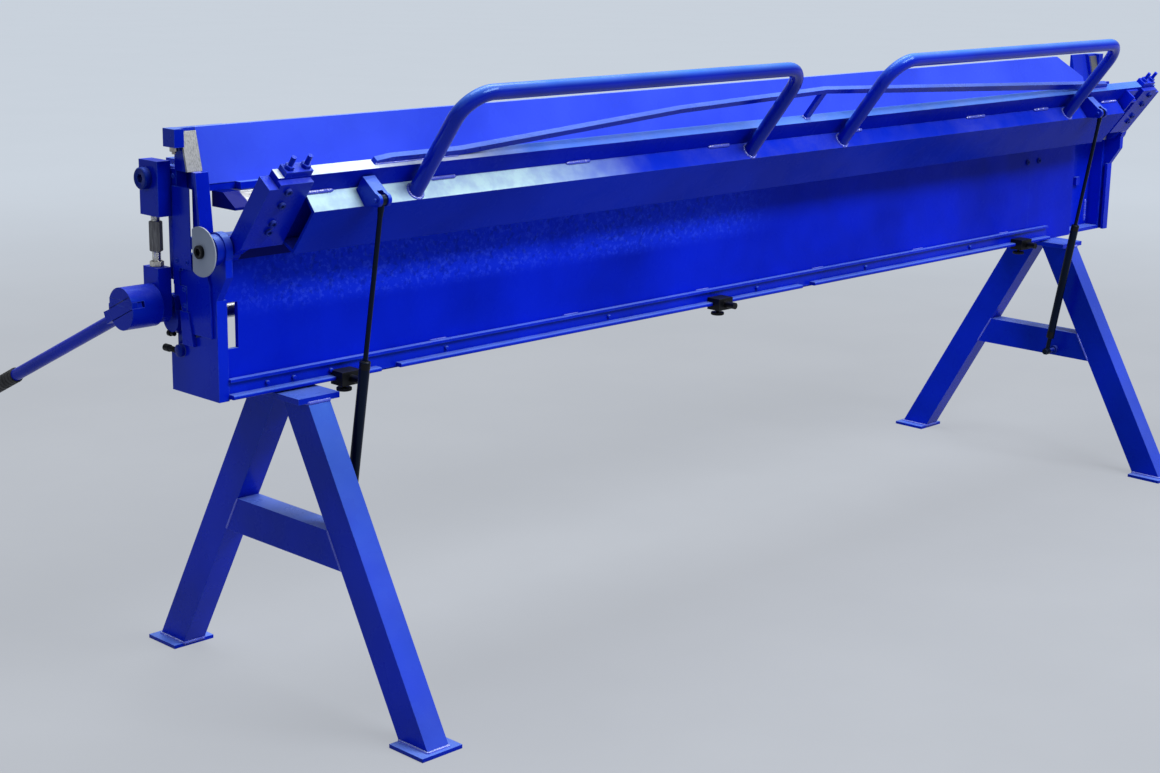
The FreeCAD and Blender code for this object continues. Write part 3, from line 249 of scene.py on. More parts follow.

# %% [markdown]
# Inside corners are darkened: painted shade. Ambient occlusion measures how closed in a point is, which is where
# the shade falls.

# %% Painted shade in corners
spot, given, result = open_group("painted_corner_shade", Reach=0.03, Amount=0.6)
openness = put_node(spot, "AmbientOcclusion", {"Distance": given["Reach"]}, samples=4).outputs["AO"]
depth = spread(openness, 0.75, 0.25)
patches = spread(clouds(spot, 30.0), 0.25, 0.70, 0.4, 1.0)
feed(result["Mask"], times(depth, patches, given["Amount"]))

# %% [markdown]
# Gloss paint from a spray gun dries with a fine dimpled skin. Two fine noises give its height, and a coarse one
# drifts the tone a little, as thick and thin paint does.

# %% Paint skin and tone
spot, given, result = open_group("paint_skin", ("Height", "Tone"), Dimples=260.0)
dimples = clouds(spot, given["Dimples"], detail=2.0)
waves = clouds(spot, 45.0, detail=2.0)
feed(result["Height"], reckon("ADD", times(dimples, 0.4), waves))
tone = clouds(spot, 2.6, detail=3.0)
feed(result["Tone"], spread(tone, 0.30, 0.70))

# %% [markdown]
# Brushed and drawn steel shows long fine lines. Noise on stretched coordinates gives them: the Lines input says
# how many fit in a metre along each direction.

# %% Long grain
spot, given, result = open_group("long_grain", ("Grain", "Scratches"), Lines=None)
pulled = vector_step("MULTIPLY", spot, given["Lines"])["Vector"]
grain = clouds(pulled, 1.0, detail=5.0, rough=0.7)
feed(result["Grain"], spread(grain, 0.25, 0.75))
scratch_field = clouds(pulled, 0.37, detail=8.0, rough=0.8)
feed(result["Scratches"], spread(scratch_field, 0.60, 0.68))

# %% [markdown]
# Every finish reads the piece's own coordinates, so its pattern moves with the piece. The Bevel node rounds the
# sharp drawn edges in the normal, so they catch a thin line of light as real plate edges do, and a Bump node lays
# the fine relief of the skin over them.

# %% Open a material
def open_material(name):
    """New material with its shader and the piece's own coordinates."""
    material = bpy.data.materials.new(name)
    material.use_nodes = True
    surface = material.node_tree.nodes["Principled BSDF"]
    print("finish", name)
    return material, surface, put_node(surface, "TexCoord").outputs["Object"]


def raise_surface(surface, height, strength, distance, edge_radius):
    """Gives the shader a relief from a height, over edges softened to a radius in metres."""
    rounded = put_node(surface, "Bevel", {"Radius": edge_radius}, samples=4).outputs["Normal"]
    sources = {"Strength": strength, "Distance": distance, "Height": height, "Normal": rounded}
    feed(surface.inputs["Normal"], put_node(surface, "Bump", sources).outputs["Normal"])


# %% [markdown]
# Towards its left end the top of the bending beam mirrors the open sky, as a pale film with a ragged end. The
# scene has no such sky, so the film is painted on. Three limits hold it: a span along the machine, a least height,
# which leaves out the inside of the box, and the way that the face looks in the piece's own coordinates, which
# keeps it on the top edge while the beam swings.

# %% Painted sky reflection on the top edge
reflection_heights = (0.98, 1.00)
top_facing = (0.80, 0.92)


def sky_reflection_mask(spot, start, end):
    """Mask of the painted sky reflection on the top edge's left part, fading out between two places along the
    machine.
    """
    places = axes_of(spot)
    ragged = reckon("ADD", places["X"], times(clouds(spot, 7.0), 0.25))
    own_normal = put_node(spot, "TexCoord").outputs["Normal"]
    facing = vector_step("DOT_PRODUCT", own_normal, along_s)["Value"]
    blots = spread(clouds(spot, 26.0), 0.35, 0.65, 0.75, 1.0)
    return times(spread(ragged, start, end, 1.0, 0.0), spread(places["Z"], *reflection_heights),
                 spread(facing, *top_facing), blots)


# %% [markdown]
# Part of the front panel has rough, speckled paint, as if it was sprayed over rust. A mask with a fading rim marks
# the patch. The whole patch is first painted brighter: painted light that lifts the shade the box casts on the panel.
# Inside it one noise makes bright lumps and another dark pits. The lumps go into colour, roughness and height
# alike, so that the patch also looks rough when the light moves.

# %% Rough patch with painted light
rim_widths = {"X": 0.32, "Z": 0.045}


def inside_patch(spot, low, high):
    """Mask of an upright patch from its low and high corners, with an uneven fading rim."""
    mask = spread(clouds(spot, 4.5, detail=3.0), 0.18, 0.42)
    for axis, width in rim_widths.items():
        value = axes_of(spot)[axis]
        start, end = getattr(low, axis.lower()), getattr(high, axis.lower())
        mask = times(mask, spread(value, start, start + width), spread(value, end - width, end, 1.0, 0.0))
    return mask


def roughen_and_paint_light(spot, colour, rough, height, patch):
    """Paints light over a patch, and adds lumps and pits to a colour, a roughness and a height inside it."""
    # Painted light: the whole patch is lifted to a brighter blue against the box's shadow.
    colour = blend_colour(times(patch, 0.6), colour, (0.0085, 0.040, 1.0))
    lumps = times(spread(clouds(spot, 95.0, detail=5.0, rough=0.75), 0.50, 0.62), patch)
    colour = blend_colour(times(lumps, 0.75), colour, (0.030, 0.078, 0.95))
    pits = times(spread(clouds(spot, 70.0), 0.52, 0.66), patch)
    colour = blend_colour(times(pits, 0.35), colour, (0.0006, 0.005, 0.22))
    rough = reckon("ADD", rough, times(lumps, 0.3))
    return colour, rough, reckon("ADD", height, times(lumps, 3.0))


# %% [markdown]
# The deep blue gloss paint is the face of the whole machine. One colour would look like plastic, so the material
# mixes a deep and a bright tone, paints a sky sheen on tops and a highlight on worn edges, paints shade into corners
# and greys dusty places. The shine is low and tinted, which keeps the blue deep.

# %% Paint finish
dust_grey = (0.42, 0.45, 0.52)
sky_tint = (0.10, 0.90, 1.0)


def paint_finish(name, deep, bright, wear_and_highlight, top_sheen, gloss=0.24, dust=0.2, shine=0.10, sheen_tint=sky_tint,
                 left_sky_reflection=None, rough_and_lit_patch=None):
    """Sprayed paint: two tones, painted top sheen, worn edges with painted highlight, dust, painted corner shade,
    dimpled skin.
    """
    material, surface, spot = open_material(name)
    tone = use_group(spot, "paint_skin", "Tone")
    height = use_group(spot, "paint_skin", "Height")
    colour = blend_colour(tone, deep, bright)
    # Tops are painted paler: a painted sky sheen.
    top_sheen_mask = use_group(spot, "painted_top_sheen")
    colour = blend_colour(top_sheen_mask, colour, top_sheen)
    # A painted sky reflection on the left of the top edge.
    if left_sky_reflection:
        start, end, reflection_colour = left_sky_reflection
        colour = blend_colour(sky_reflection_mask(spot, start, end), colour, reflection_colour)
    # Inside corners are darkened with a darker copy of the deep tone: painted shade.
    corner_shade = use_group(spot, "painted_corner_shade", Amount=0.55)
    colour = blend_colour(corner_shade, colour, [0.25 * value for value in deep])
    # Edges are lighter: wear, and a painted highlight where they catch the light.
    edges = use_group(spot, "edge_wear_and_highlight", Reach=0.0022)
    colour = blend_colour(times(edges, 0.55), colour, wear_and_highlight)
    dusty = use_group(spot, "fallen_dust", Amount=dust)
    colour = blend_colour(dusty, colour, dust_grey)
    rough = spread(clouds(spot, 14.0), 0.3, 0.7, gloss * 0.8, gloss * 1.35)
    rough = reckon("ADD", rough, times(dusty, 0.5))
    if rough_and_lit_patch:
        colour, rough, height = roughen_and_paint_light(spot, colour, rough, height, inside_patch(spot, *rough_and_lit_patch))
    fill(surface, {"Base Color": colour, "Roughness": reckon("MINIMUM", rough, 0.9), "Specular IOR Level": shine,
                   "Specular Tint": sheen_tint})
    raise_surface(surface, height, strength=0.16, distance=0.0006, edge_radius=0.0012)
    return material


# %% [markdown]
# Bare and plated steel share one recipe: full metal, streaks along the way the part was ground or drawn, a few
# brown stains, and brighter scratches. The spray gun reached the left ends of the bare blades, so there a ragged
# mask turns both the colour and the metal off.

# %% Steel finish
stain_brown = (0.16, 0.11, 0.07)


def steel_finish(name, light, dark, lines, rough, stain=0.3, painted_to=None):
    """Metal with long grain, scratches and thin stains, and with a painted left end if asked for."""
    material, surface, spot = open_material(name)
    feed(surface.inputs["Metallic"], 1.0)
    grain = use_group(spot, "long_grain", "Grain", Lines=lines)
    scratches = use_group(spot, "long_grain", "Scratches", Lines=lines)
    colour = blend_colour(grain, dark, light)
    colour = blend_colour(times(scratches, 0.4), colour, (0.85, 0.85, 0.84))
    blots = spread(clouds(spot, 22.0, detail=7.0, rough=0.65), 0.55, 0.72)
    colour = blend_colour(times(blots, stain), colour, stain_brown)
    # Inside corners are darkened: painted shade.
    corner_shade = use_group(spot, "painted_corner_shade", Reach=0.012, Amount=0.7)
    colour = blend_colour(corner_shade, colour, (0.05, 0.05, 0.05))
    if painted_to is not None:
        ragged = reckon("ADD", axes_of(spot)["X"], times(clouds(spot, 60.0), 0.008))
        paint = spread(ragged, painted_to + 0.003, painted_to + 0.006, 1.0, 0.0)
        colour = blend_colour(paint, colour, (0.0008, 0.005, 0.17))
        fill(surface, {"Metallic": reckon("SUBTRACT", 1.0, paint), "Specular IOR Level": 0.05})
    uneven = spread(grain, 0.0, 1.0, rough * 1.25, rough * 0.8)
    fill(surface, {"Base Color": colour, "Roughness": reckon("ADD", uneven, times(blots, 0.2))})
    raise_surface(surface, grain, strength=0.12, distance=0.0003, edge_radius=0.0007)
    return material


# %% [markdown]
# The hand grip is black rubber: dull, with a fine pebbled skin and grey rubbed edges where palms hold it. Voronoi
# cells are as even as moulded pebbles.

# %% Rubber finish
def rubber_finish(name):
    """Dull moulded rubber with a pebbled skin."""
    material, surface, spot = open_material(name)
    pebbles = put_node(spot, "TexVoronoi", {"Vector": spot, "Scale": 900.0}).outputs["Distance"]
    wear_and_highlight = use_group(spot, "edge_wear_and_highlight", Reach=0.002)
    dusty = use_group(spot, "fallen_dust", Amount=0.25)
    colour = blend_colour(wear_and_highlight, (0.012, 0.012, 0.013), (0.06, 0.06, 0.06))
    fill(surface, {"Base Color": blend_colour(dusty, colour, (0.20, 0.20, 0.19)),
                   "Roughness": spread(clouds(spot, 60.0), 0.3, 0.7, 0.55, 0.8)})
    raise_surface(surface, pebbles, strength=0.25, distance=0.0003, edge_radius=0.0008)
    return material


# %% [markdown]
# The machine was sprayed in one blue, but each part stands at its own angle to the sky and catches its own light, so
# the recipe is used with a few sets of tones, some of them lit and shaded copies of the blue that paint that light
# in.
# Each set gives deep, bright, worn edges with their painted highlight, and painted top sheen, in that order.

# %% Blue and grey paints
# edge_blue is the lighter blue of worn edges with their painted highlight.
edge_blue = (0.08, 0.17, 0.82)
main_blues = ((0.0008, 0.008, 0.39), (0.0016, 0.014, 0.64), edge_blue)
sky_sheen_blue = (0.17, 0.33, 1.0)
no_tint = (1, 1, 1)
blue = paint_finish("blue_gloss_paint", *main_blues, sky_sheen_blue, shine=0.16)
# A shaded copy: the same blue with a far weaker painted sky sheen, for parts out of the sky's light.
shade_blue = paint_finish("shaded_lever_paint", *main_blues, (0.02, 0.06, 0.80), shine=0.12)
# A lit copy: brighter tones paint the extra sky light and reflection on the leaning plate of the upper beam.
lit_plate_blue = paint_finish("lit_beam_paint", (0.018, 0.048, 0.66), (0.036, 0.080, 0.86), (0.20, 0.30, 1.0),
                          (0.30, 0.45, 1.0))
# A darker copy paints the shade under the handle tubes, and a cyan painted sheen lies on their tops.
tube_blue = paint_finish("handle_paint", (0.0006, 0.005, 0.30), (0.0012, 0.010, 0.50), edge_blue,
                         (0.10, 0.34, 1.0), gloss=0.14, shine=0.35, sheen_tint=(0.35, 0.65, 1.0))
# The box and the bending beam carry the painted sky reflection on the left of their top edges.
box_blue = paint_finish("box_paint", (0.0018, 0.017, 0.43), (0.0028, 0.025, 0.60), edge_blue,
                        (0.010, 0.045, 0.95), shine=0.02, left_sky_reflection=(along(-900), along(-440), (0.66, 0.95, 1.0)))
leaf_blue = paint_finish("leaf_paint", (0.0014, 0.010, 0.40), (0.0022, 0.014, 0.58), edge_blue,
                         (0.17, 0.42, 1.0), shine=0.02, left_sky_reflection=(along(-1150), along(-800), (0.80, 0.90, 1.0)))
# The rough patch on the front panel also carries painted light.
panel_blue = paint_finish("rough_lit_blue_paint", *main_blues, sky_sheen_blue, shine=0.05,
                          rough_and_lit_patch=(place(-1700, 0, 795), place(90, 0, 960)))
# Pale, glossy tones paint the glints on the welds: a painted highlight over the blue paint.
glinting_weld_blue = paint_finish("weld_paint_with_glints", (0.012, 0.030, 0.55), (0.05, 0.09, 0.85), (0.45, 0.55, 0.95),
                         (0.45, 0.55, 1.0), gloss=0.13, shine=0.7, sheen_tint=no_tint)
bolt_blue = paint_finish("painted_bolt", (0.0008, 0.0066, 0.20), (0.0014, 0.010, 0.34), (0.16, 0.22, 0.60),
                         (0.05, 0.10, 0.55))
black = paint_finish("black_paint", (0.0016, 0.0022, 0.004), (0.004, 0.0046, 0.007), (0.06, 0.06, 0.07),
                     (0.012, 0.013, 0.017), gloss=0.34, dust=0.06, shine=0.16, sheen_tint=no_tint)
# The struts' navy tone is a painted reflection of the blue panel.
strut_black = paint_finish("strut_paint", (0.0014, 0.003, 0.011), (0.003, 0.006, 0.020), (0.04, 0.06, 0.12),
                           (0.010, 0.018, 0.050), gloss=0.30, dust=0.04, shine=0.14, sheen_tint=(0.5, 0.7, 1.0))
disc_grey = paint_finish("pale_disc_paint", (0.24, 0.29, 0.40), (0.34, 0.39, 0.50), (0.60, 0.65, 0.72),
                         (0.50, 0.54, 0.60), gloss=0.42, dust=0.1, shine=0.4, sheen_tint=no_tint)

# %% [markdown]
# The steels differ in tone and in the way that their lines run. The blades were ground along their length, and
# the wear plates are rubbed up and down. The three numbers are lines in a metre along x, y and z.

# %% Steels and rubber
ground_lines = (3, 900, 900)
ground_tones = ((0.60, 0.61, 0.60), (0.32, 0.33, 0.33))
ground_steel = steel_finish("ground_steel", *ground_tones, ground_lines, 0.34)
bed_steel = steel_finish("bed_steel", *ground_tones, ground_lines, 0.34, painted_to=along(-1440))
blade_steel = steel_finish("blade_steel", (0.40, 0.41, 0.42), (0.16, 0.17, 0.18), ground_lines, 0.36,
                           painted_to=along(-1560))
wear_steel = steel_finish("rubbed_steel", (0.46, 0.47, 0.47), (0.16, 0.17, 0.17), (700, 700, 12), 0.45, 0.5)
plated = steel_finish("plated_steel", (0.62, 0.60, 0.54), (0.38, 0.36, 0.32), (500, 500, 60), 0.33, 0.45)
dull_steel = steel_finish("dull_steel", (0.17, 0.17, 0.18), (0.07, 0.07, 0.08), (500, 500, 30), 0.42)
bright_thread = steel_finish("bright_thread", (0.86, 0.86, 0.82), (0.55, 0.55, 0.52), (300, 300, 300), 0.22, 0.15)
rubber = rubber_finish("grip_rubber")

# %% [markdown]
# Every CAD node keeps its shape and gets one of these finishes. The record's slot decides, apart from the nodes
# listed here by name.

# %% Dress the nodes
finish_of_slot = {"blue_paint": blue, "black_paint": black, "grey_disc": disc_grey, "bare_steel": ground_steel,
                  "zinc": plated, "rubber": rubber}
nodes_of_finish = (
    (panel_blue, "front_panel end_panel"), (box_blue, "leaf_box"), (leaf_blue, "leaf_plate"),
    (lit_plate_blue, "beam_plate"), (tube_blue, "handle_left handle_right"),
    (shade_blue, "hinge_ears leaf_adjusters lever_hub lever_rod crank_arms stop_arm"),
    (shade_blue, "link_high_left link_high_right link_low_left link_low_right"),
    (strut_black, "strut_rod_left strut_rod_right strut_tube_left strut_tube_right"),
    (bed_steel, "bed_blade"), (blade_steel, "beam_blade"), (wear_steel, "wear_plates"),
)
finish_of_node = {node: finish for finish, nodes in nodes_of_finish for node in nodes.split()}
for node, piece in frame["nodes"].items():
    piece.data.materials.clear()
    piece.data.materials.append(finish_of_node.get(node, finish_of_slot[slot_of[node]]))
print("finished nodes", len(frame["nodes"]), "by name", len(finish_of_node))

# %% [markdown]
# The new pieces are made in mesh code. Each helper adds one form to an open bmesh, so that a piece can hold many
# of them. These two put the result into the scene and let it ride on a body of the machine. Faces that meet at
# more than 35 degrees keep a sharp edge, and the rest is shaded smooth.

# %% Put a piece into the scene
def add_object(name, shape, finish):
    """Turns a bmesh into an object of the scene."""
    mesh = bpy.data.meshes.new(name)
    shape.to_mesh(mesh)
    shape.free()
    mesh.materials.append(finish)
    made = bpy.data.objects.new(name, mesh)
    bpy.context.collection.objects.link(made)
    print(name, "vertices", len(mesh.vertices))
    return made


def add_piece(name, shape, finish, body, replaced=()):
    """Adds a piece that rides on a body and stands for the nodes it replaces."""
    bmesh.ops.recalc_face_normals(shape, faces=shape.faces)
    piece = add_object(name, shape, finish)
    piece.data.shade_smooth()
    piece.data.set_sharp_from_angle(angle=math.radians(35))
    if replaced:
        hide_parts(*replaced)
    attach(piece, body)


# %% [markdown]
# Nearly every form here is a stack of rings with a skin over them: two square ones for a bar, a few round ones
# for a bolt, hundreds for a thread. Ready-made cylinders and cutting would be shorter, but rings give clean faces
# and never fail.

# %% Rings of points
def across(axis):
    """Two directions at right angles to an axis."""
    helper = Vector((1, 0, 0)) if abs(axis.x) < 0.9 else Vector((0, 0, 1))
    first = axis.cross(helper).normalized()
    return first, axis.cross(first).normalized()


def turns(count):
    """Even angles round a full turn."""
    return [2 * math.pi * index / count for index in range(count)]


def ring_round(foot, axis, stations):
    """Ring from a (distance along the axis, reach from it) for each even angle, in millimetres."""
    first, second = across(axis)
    ring = []
    for angle, (distance, reach) in zip(turns(len(stations)), stations):
        offset = (first * math.cos(angle) + second * math.sin(angle)) * reach / 1000
        ring.append(foot + axis * distance / 1000 + offset)
    return ring


def skin_rings(shape, rings, closed=False):
    """Joins rings of points with faces, and closes the two ends."""
    made = [[shape.verts.new(point) for point in ring] for ring in rings]
    pairs = list(zip(made, made[1:]))
    if closed:
        pairs.append((made[-1], made[0]))
    for low, high in pairs:
        for index in range(len(low)):
            after = (index + 1) % len(low)
            shape.faces.new((low[index], low[after], high[after], high[index]))
    if not closed:
        shape.faces.new(reversed(made[0]))
        shape.faces.new(made[-1])


# %% [markdown]
# A turned part is a profile spun round an axis, as on a lathe. Each entry of the profile is a distance along the
# axis and a radius there, both in millimetres.

# %% Turned parts
def add_turned(shape, foot, axis, profile, sides=32):
    """Solid of revolution from a list of (distance, radius)."""
    skin_rings(shape, [ring_round(foot, axis, [station] * sides) for station in profile])


# %% [markdown]
# Bars and plates are sawn from stock. A bar needs only its three spans, and may lean forward as it goes down; a
# plate is an outline in y and z, given a thickness along x.

# %% Bars and plates
def add_bar(shape, xs, ys, zs, lean=0.0):
    """Straight bar between pairs of places; lean is its step forward for each millimetre down."""
    corners = [(xs[0], ys[0]), (xs[1], ys[0]), (xs[1], ys[1]), (xs[0], ys[1])]
    skin_rings(shape, [[place(x, y - lean * (zs[1] - z), z) for x, y in corners] for z in zs])


def add_plate(shape, outline, xs):
    """Plate with an outline of (y, z) points between two places along x."""
    skin_rings(shape, [[place(x, y, z) for y, z in outline] for x in xs])


# %% [markdown]
# A socket head bolt is a short turned head with a six-sided hole. Its top ring is joined to a six-sided ring, and
# from there the wall goes down to a flat floor.

# %% Socket head bolts
def hex_radius(angle, flat):
    """Distance from the middle of a hexagon to its edge at an angle."""
    sixth = math.pi / 3
    return flat / math.cos((angle % sixth) - sixth / 2)


def add_socket_bolt(shape, seat, axis, radius, height, socket, depth, chamfer=1.2, sides=36):
    """Cap head with a chamfered rim and a six-sided socket, sizes in millimetres."""
    head = [(0, radius), (height - chamfer, radius), (height, radius - chamfer), (height, socket * 1.28)]
    rings = [[station] * sides for station in head]
    for distance in (height - 0.8, height - depth):
        rings.append([(distance, hex_radius(angle, socket)) for angle in turns(sides)])
    skin_rings(shape, [ring_round(seat, axis, ring) for ring in rings])


# %% [markdown]
# A nut is a hexagon whose corners are turned down by a cone at both ends. At every angle the rim is as high as
# that cone allows, which draws the curved line that real nuts have.

# %% Nuts
nut_cone = math.radians(30)


def add_nut(shape, seat, axis, flat, height, hole, sides=48):
    """Chamfered nut with a round hole, from its distance to a flat."""
    rim = flat * 0.97
    reaches = [hex_radius(angle, flat) for angle in turns(sides)]
    drops = [(reach - rim) * math.tan(nut_cone) for reach in reaches]
    rings = [[station] * sides for station in ((0.8, hole), (0, hole + 0.8), (0, rim))]
    rings += [list(zip(drops, reaches)), [(height - drop, reach) for drop, reach in zip(drops, reaches)]]
    rings += [[station] * sides for station in ((height, rim), (height, hole + 0.8), (height - 0.8, hole))]
    skin_rings(shape, [ring_round(seat, axis, ring) for ring in rings], closed=True)


# %% [markdown]
# A thread is a rod whose surface winds up and down along a screw line. The height of the ridge at a point
# depends on its distance along the rod less its share of a turn.

# %% Threads
steps_per_pitch = 6


def add_thread(shape, foot, axis, length, radius, pitch, ridge, sides=24):
    """Threaded rod, sizes in millimetres."""
    count = max(2, int(length / pitch * steps_per_pitch))
    rings = []
    for step in range(count + 1):
        distance = length * step / count
        phases = [(distance / pitch - index / sides) % 1.0 for index in range(sides)]
        reaches = [radius + ridge * (1 - abs(2 * phase - 1)) for phase in phases]
        rings.append(ring_round(foot, axis, [(distance, reach) for reach in reaches]))
    skin_rings(shape, rings)


# %% [markdown]
# A weld is laid down in small overlapping drops, so its surface ripples along the seam. The helper walks along
# the seam and swells and shrinks a ring as it goes. The seed keeps the unevenness the same in each run.

# %% Weld beads
weld_chance = random.Random(7)


def add_bead(shape, points, normal, radius, closed=False, ripple=4.5, sides=8):
    """Rippled weld along a line of points, its size and ripple in millimetres."""
    corners = list(points) + ([points[0]] if closed else [])
    stations = []
    travelled = 0.0
    for start, end in zip(corners, corners[1:]):
        run = end - start
        steps = max(2, int(run.length * 1000 / ripple * 3))
        for step in range(steps):
            share = step / steps
            stations.append((start.lerp(end, share), run.normalized(), travelled + run.length * share))
        travelled += run.length
    if not closed:
        stations.append((corners[-1], (corners[-1] - corners[-2]).normalized(), travelled))
    rings = []
    for centre, ahead, distance in stations:
        side = ahead.cross(normal).normalized()
        wave = abs(math.sin(math.pi * distance * 1000 / ripple))
        swell = radius * (0.80 + 0.24 * wave + 0.08 * weld_chance.uniform(-1, 1))
        end_taper = 1.0
        if not closed:
            near_end = min(distance, travelled - distance) * 1000
            end_taper = min(1.0, 0.35 + near_end / (2.0 * radius))
        rings.append([centre + (side * math.cos(angle) + normal * math.sin(angle)) * swell * end_taper / 1000
                      for angle in turns(sides)])
    skin_rings(shape, rings, closed=closed)


# %% [markdown]
# The trestle stands are welded square tube. A bead runs round the foot of each leg on its foot plate, round the
# leg's top under the top plate, and along the slanted seams where the crossbar meets the legs.

# %% Welds on the stands
stand_middles = (-1465, 1318)
stand_y = 18
leg_half_width = 27
leg_slant = 86.1
foot_z, foot_spread = 8, 447
leg_top_z, leg_top_spread = 633, 94
crossbar_zs = (310, 385)
up = Vector((0, 0, 1))


def leg_outer(z):
    """Half the spread of a stand's legs at a height."""
    return leg_top_spread + (leg_top_z - z) * (foot_spread - leg_top_spread) / (leg_top_z - foot_z)


shape = bmesh.new()
for middle in stand_middles:
    for side in (-1, 1):
        for z, outward in ((foot_z, up), (leg_top_z, -up)):
            near = stand_y + side * (leg_outer(z) - leg_slant)
            far = stand_y + side * leg_outer(z)
            left, right = middle - leg_half_width, middle + leg_half_width
            corners = [place(x, y, z) for x, y in ((left, near), (right, near), (right, far), (left, far))]
            add_bead(shape, corners, outward, 4.0, closed=True)
        for face in (-1, 1):
            x = middle + face * leg_half_width
            seam = [place(x, stand_y + side * (leg_outer(z) - leg_slant), z) for z in crossbar_zs]
            add_bead(shape, seam, Vector((face, 0, 0)), 2.6)
add_piece("stand_welds", shape, glinting_weld_blue, "frame")

# %% [markdown]
# The front box is stitched to the bending beam with short welds instead of one long bead, which would pull the
# beam out of true. The handles, the bow and its post are welded on as well.

# %% Welds on the bending beam
stitches = ((-1527, -1455), (-1210, -1141), (-827, -753), (-368, -293), (164, 213), (668, 755), (994, 1067),
            (1350, 1430))
outer_corner = (along_s + along_t) / 2 ** 0.5
shape = bmesh.new()
for start, end in stitches:
    add_bead(shape, [leaf_place(x, 159.5, 26.5) for x in (start, end)], outer_corner, 4.5, ripple=6.0)
handle_feet = (-1260, -235, 115, 1145)
handle_radius = 17
handle_t = 48
for foot_x in handle_feet:
    ring = []
    for angle in turns(20):
        x, t = foot_x + handle_radius * math.cos(angle), handle_t + handle_radius * math.sin(angle)
        ring.append(leaf_place(x, 158 - 10 * (t - 25) / 42, t))
    add_bead(shape, ring, along_s, 3.4, closed=True)
leaf_top = 205
post_x = -30
bow_ends = ((-1369, -1150), (1260, 1340))
for start, end in bow_ends:
    add_bead(shape, [leaf_place(x, leaf_top, 14) for x in (start, end)], along_t, 2.2)
post_foot = [leaf_place(post_x + dx, leaf_top, 8 + dt) for dx, dt in ((-9, -5), (9, -5), (9, 5), (-9, 5))]
add_bead(shape, post_foot, along_s, 3.0, closed=True)
add_piece("bending_beam_welds", shape, glinting_weld_blue, "bending_beam")

# %% [markdown]
# The ears at both ends of the bending beam are held by socket head screws, painted over with the rest. The model
# has plain heads there, and these replace them.

# %% Ear screws
shape = bmesh.new()
for side in (-1, 1):
    for s in (77, 99, 146, 181):
        add_socket_bolt(shape, leaf_place(side * 1580, s, 38), along_t, 8.0, 6.0, 3.6, 3.5, chamfer=0.8)
add_piece("ear_screws", shape, bolt_blue, "bending_beam", replaced=["leaf_bolts"])

# %% [markdown]
# A slim bow of flat bar stiffens the top of the bending beam. It is set back from the front edge, so a bright strip
# of the beam's own top shows before it. Its left end lies flat, and a short post holds its peak.

# %% Bow
def add_leaf_bar(shape, outline, ts):
    """Bar with an outline of (x, s) points between two depths on the bending beam."""
    skin_rings(shape, [[leaf_place(x, s, t) for x, s in outline] for t in ts])


bow_bar = 13
bow_peak = 298
bow_outline = [
    (-1369, leaf_top), (-1150, leaf_top), (-529, 278 - bow_bar), (post_x, bow_peak - bow_bar), (1260, leaf_top),
    (1340, leaf_top), (1338, 214), (1328, 221), (post_x, bow_peak), (-529, 278), (-1150, leaf_top + bow_bar + 2),
    (-1330, leaf_top + bow_bar + 2), (-1366, 214),
]
shape = bmesh.new()
add_leaf_bar(shape, bow_outline, (2, 14))
post_outline = [(-39, leaf_top), (-21, leaf_top), (-21, bow_peak - bow_bar - 1), (-39, bow_peak - bow_bar)]
add_leaf_bar(shape, post_outline, (3, 13))
add_piece("slim_bow", shape, blue, "bending_beam", replaced=["truss_bow"])

# %% [markdown]
# The frame's own fasteners are two screws beside the seam of the front panel, the adjusting screw with its boss at
# the left end, and the studs that carry the feet of the gas struts. Turned profiles make them all.

# %% Frame fasteners
forward = Vector((0, -1, 0))
leftward = Vector((-1, 0, 0))
shape = bmesh.new()
for x in (1185, 1244):
    add_socket_bolt(shape, place(x, 10, 883), forward, 8.0, 5.0, 3.6, 3.0, chamfer=1.5)
add_turned(shape, place(-1646, 122, 730), leftward, [(0, 13.5), (1.0, 12.5), (9.0, 12.5), (10.0, 11.0)])
stud_y, stud_z = -60, 328
for x, direction, length in ((-1392.3, leftward, 45.7), (1254.3, -leftward, 36.7)):
    profile = [(0, 5.2), (0.8, 6), (length - 9, 6), (length - 9, 11), (length - 7, 11.5), (length, 11.5)]
    add_turned(shape, place(x, stud_y, stud_z), direction, profile)
add_piece("frame_bolts", shape, bolt_blue, "frame", replaced=["frame_fasteners"])

shape = bmesh.new()
add_thread(shape, place(-1649, 136, 728), -forward, 24.0, 5.2, 1.75, 0.7)
add_turned(shape, place(-1649, 159, 728), -forward, [(0, 6.6), (0.8, 7.4), (16, 7.4), (18, 5.6)])
add_turned(shape, place(-1642, 152, 757), -forward, [(0, 4.6), (12, 4.6), (12, 6.6), (19, 6.6), (20, 5.6)])
add_piece("adjusting_screw", shape, black, "frame", replaced=["frame_fasteners"])

# %% [markdown]
# A thin pale disc with one side cut straight covers the left hinge pin. A short spacer holds it off the boss, and
# a black bolt with a deep socket goes through its middle.

# %% Hinge disc
pin_z = 945
disc_face_x = -1681
disc_radius = 48
disc_cut = 26
disc_rim = [(min(disc_radius * math.cos(angle), disc_cut), pin_z + disc_radius * math.sin(angle))
            for angle in turns(64)]
shape = bmesh.new()
add_plate(shape, disc_rim, (-1678.5, disc_face_x))
add_turned(shape, place(-1662, 0, pin_z), leftward, [(0, 24), (17, 24)])
add_piece("thin_disc", shape, disc_grey, "frame", replaced=["hinge_disc"])
shape = bmesh.new()
add_socket_bolt(shape, place(disc_face_x, 0, pin_z), leftward, 13.0, 7.0, 6.5, 5.5)
add_piece("disc_bolt", shape, black, "frame", replaced=["frame_fasteners"])

# %% [markdown]
# The upper beam slides between guide bars at both ends. The front guide is a thin strip that leans forward on its
# way down to the hinge, with a narrower bar behind it. The back guide stands on a bent keeper that reaches round the
# crank, and flat plates close the end of the machine beside them.

